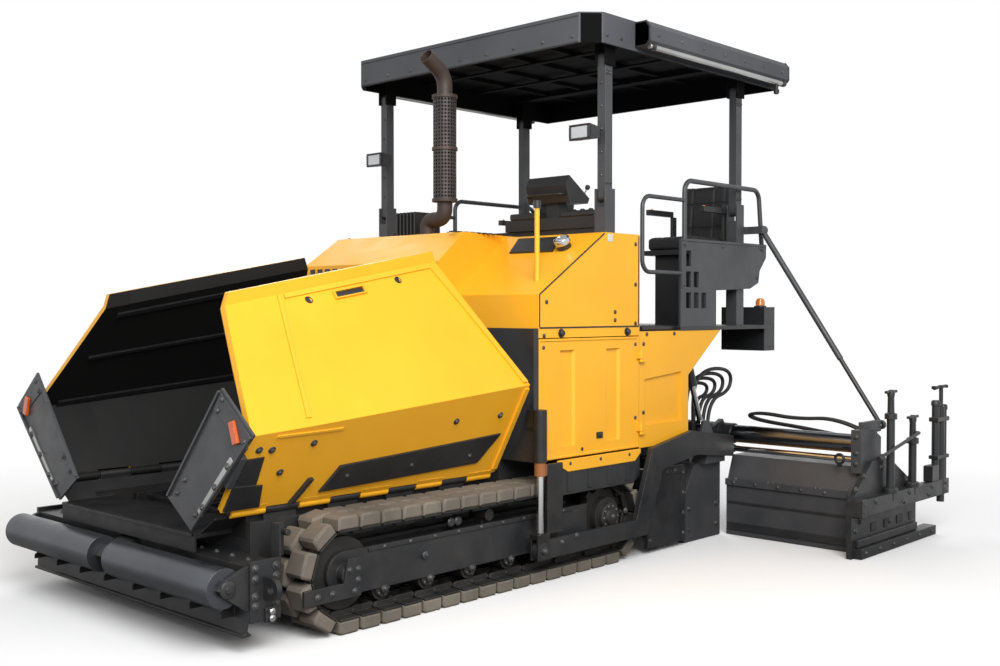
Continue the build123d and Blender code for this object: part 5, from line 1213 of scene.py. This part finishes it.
def gate_details(black, bolts, steel):
    bolts.bolts(at_x(2.49, (1.515, 0.4), (1.515, 0.34), (1.72, 0.4), (2.2, 0.34), (2.3, 0.4), (2.66, 0.34),
                     (2.72, 0.4), (2.98, 0.4), (2.98, 0.34)), 0.013)
    bolts.bolts(at_x(2.42, (1.53, 0.2), (1.53, 0.5), (1.6, 0.26), (1.66, 0.58), (1.95, 0.62), (2.1, 0.2),
                     (2.45, 0.5), (2.5, 0.14)), 0.014)
    bolts.bolts(grid(2.48, spread(1.58, 2.74, 6), 0.04), 0.01)
    black.block((2.418, 1.475, 0.3), (2.5, 1.545, 0.44), 0.006)
    black.block((2.418, 1.52, 0.078), (2.446, 2.54, 0.135))
    for y, width in ((1.78, 0.09), (2.0, 0.05), (2.22, 0.1), (2.44, 0.06)):
        steel.block((2.417, y, 0.16), (2.426, y + width, 0.225), 0.003)
    # Jack sleeves, the double posts with their clamps, and the cross handle
    for y, low, high in ((2.01, 0.43, 1.2), (2.4, 0.43, 0.985)):
        black.lathe((2.465, y, low), UP, [(0, 0.056), (0.03, 0.056), (0.04, 0.044)], 24)
        black.lathe((2.465, y, high - 0.2), UP, [
            (-0.02, 0.034), (-0.02, 0.046), (0.02, 0.046), (0.03, 0.026), (0.14, 0.024), (0.17, 0.03),
            (0.195, 0.022)], 24)
    for y, high in ((2.852, 1.06), (2.995, 1.02)):
        black.rod((2.458, y, 0.43), (2.458, y, high), 0.03)
        black.lathe((2.458, y, high), UP, [(-0.03, 0.036), (0.0, 0.036), (0.012, 0.028)], 20)
    for low, high in ((0.9, 0.935), (0.6, 0.63)):
        black.block((2.42, 2.812, low), (2.496, 3.036, high))
    steel.run([(2.465, 2.8, 1.168), (2.465, 2.9, 1.176), (2.465, 3.045, 1.178)], 0.013)
    for y in (2.8, 2.92, 3.03):
        steel.lathe((2.465, y, 1.165), UP, [(0, 0.02), (0.02, 0.02), (0.024, 0.014)], 16)
    black.block((2.425, 2.7, 0.432), (2.5, 2.82, 0.56), 0.006)
    # The walkway's tread
    for x in spread(1.46, 2.32, 10):
        for y in spread(2.28, 2.6, 5):
            steel.bar((x - 0.016, y - 0.01, 0.331), (x + 0.016, y + 0.01, 0.331), (0.004, -0.006, 0),
                      (0, 0, 0.005), 0.001)


# Floor, world and lamps
WHITE = (1.0, 1.0, 1.0, 1.0)
FLOOR_REACH = 60
FLOOR_FADE = (3.2, 7.0)
FLOOR_BOUNCE, FLOOR_SEEN = 0.22, 0.95
SKY_LIGHT, SKY_SEEN = 0.48, 1.0
LAMP_AIM = Vector((0.0, 0.0, 1.2))


def make_floor():
    mesh = bpy.data.meshes.new("floor")
    far = FLOOR_REACH
    mesh.from_pydata([(-far, -far, 0), (far, -far, 0), (far, far, 0), (-far, far, 0)], [], [(0, 1, 2, 3)])
    floor = put("floor", mesh)
    n = Surface("floor")
    glow = n.add("Emission", {"Strength": 1.0}).outputs[0]
    away = n.add("VectorMath", {0: n.spot}, operation="LENGTH").outputs["Value"]
    greys = [(share, share, share, 1.0) for share in (FLOOR_BOUNCE, FLOOR_SEEN)]
    shade = n.mix(n.add("LightPath").outputs["Is Camera Ray"], *greys)
    n.fill(n.shader, {"Base Color": shade, "Roughness": 0.9})
    fade = n.both(n.ramp(away, *FLOOR_FADE), n.seen())
    n.feed(n.out.inputs["Surface"], n.blend(fade, n.shader.outputs[0], glow))
    mesh.materials.append(n.material)


def make_world():
    world = bpy.data.worlds.new("studio")
    bpy.context.scene.world = world
    n = Nodes(world)
    skies = [n.add("Background", {"Color": WHITE, "Strength": strength}).outputs[0]
             for strength in (SKY_LIGHT, SKY_SEEN)]
    n.add("OutputWorld", {"Surface": n.blend(n.seen(), *skies)})


def lamp(name, place, size, power):
    data = bpy.data.lights.new(name, "AREA")
    data.shape = "RECTANGLE"
    data.size = data.size_y = size
    data.energy = power
    light = put(name, data)
    light.location = place
    light.rotation_euler = (LAMP_AIM - Vector(place)).to_track_quat("-Z", "Y").to_euler()


for build in (track_loops, track_details, wing_details, push_details, hopper_details, exhaust, hood_details,
        door_details, skirt_details, quarter_details, console_details, rail_details, seats, canopy_details,
        post_details, tow_details, screed_details, extension_details, make_floor, make_world):
    build()
lamp("key", (7.0, -5.0, 6.2), 6.0, 980.0)
lamp("fill", (-7.5, 6.0, 6.5), 7.0, 420.0)
bpy.context.scene.view_settings.view_transform = "Standard"
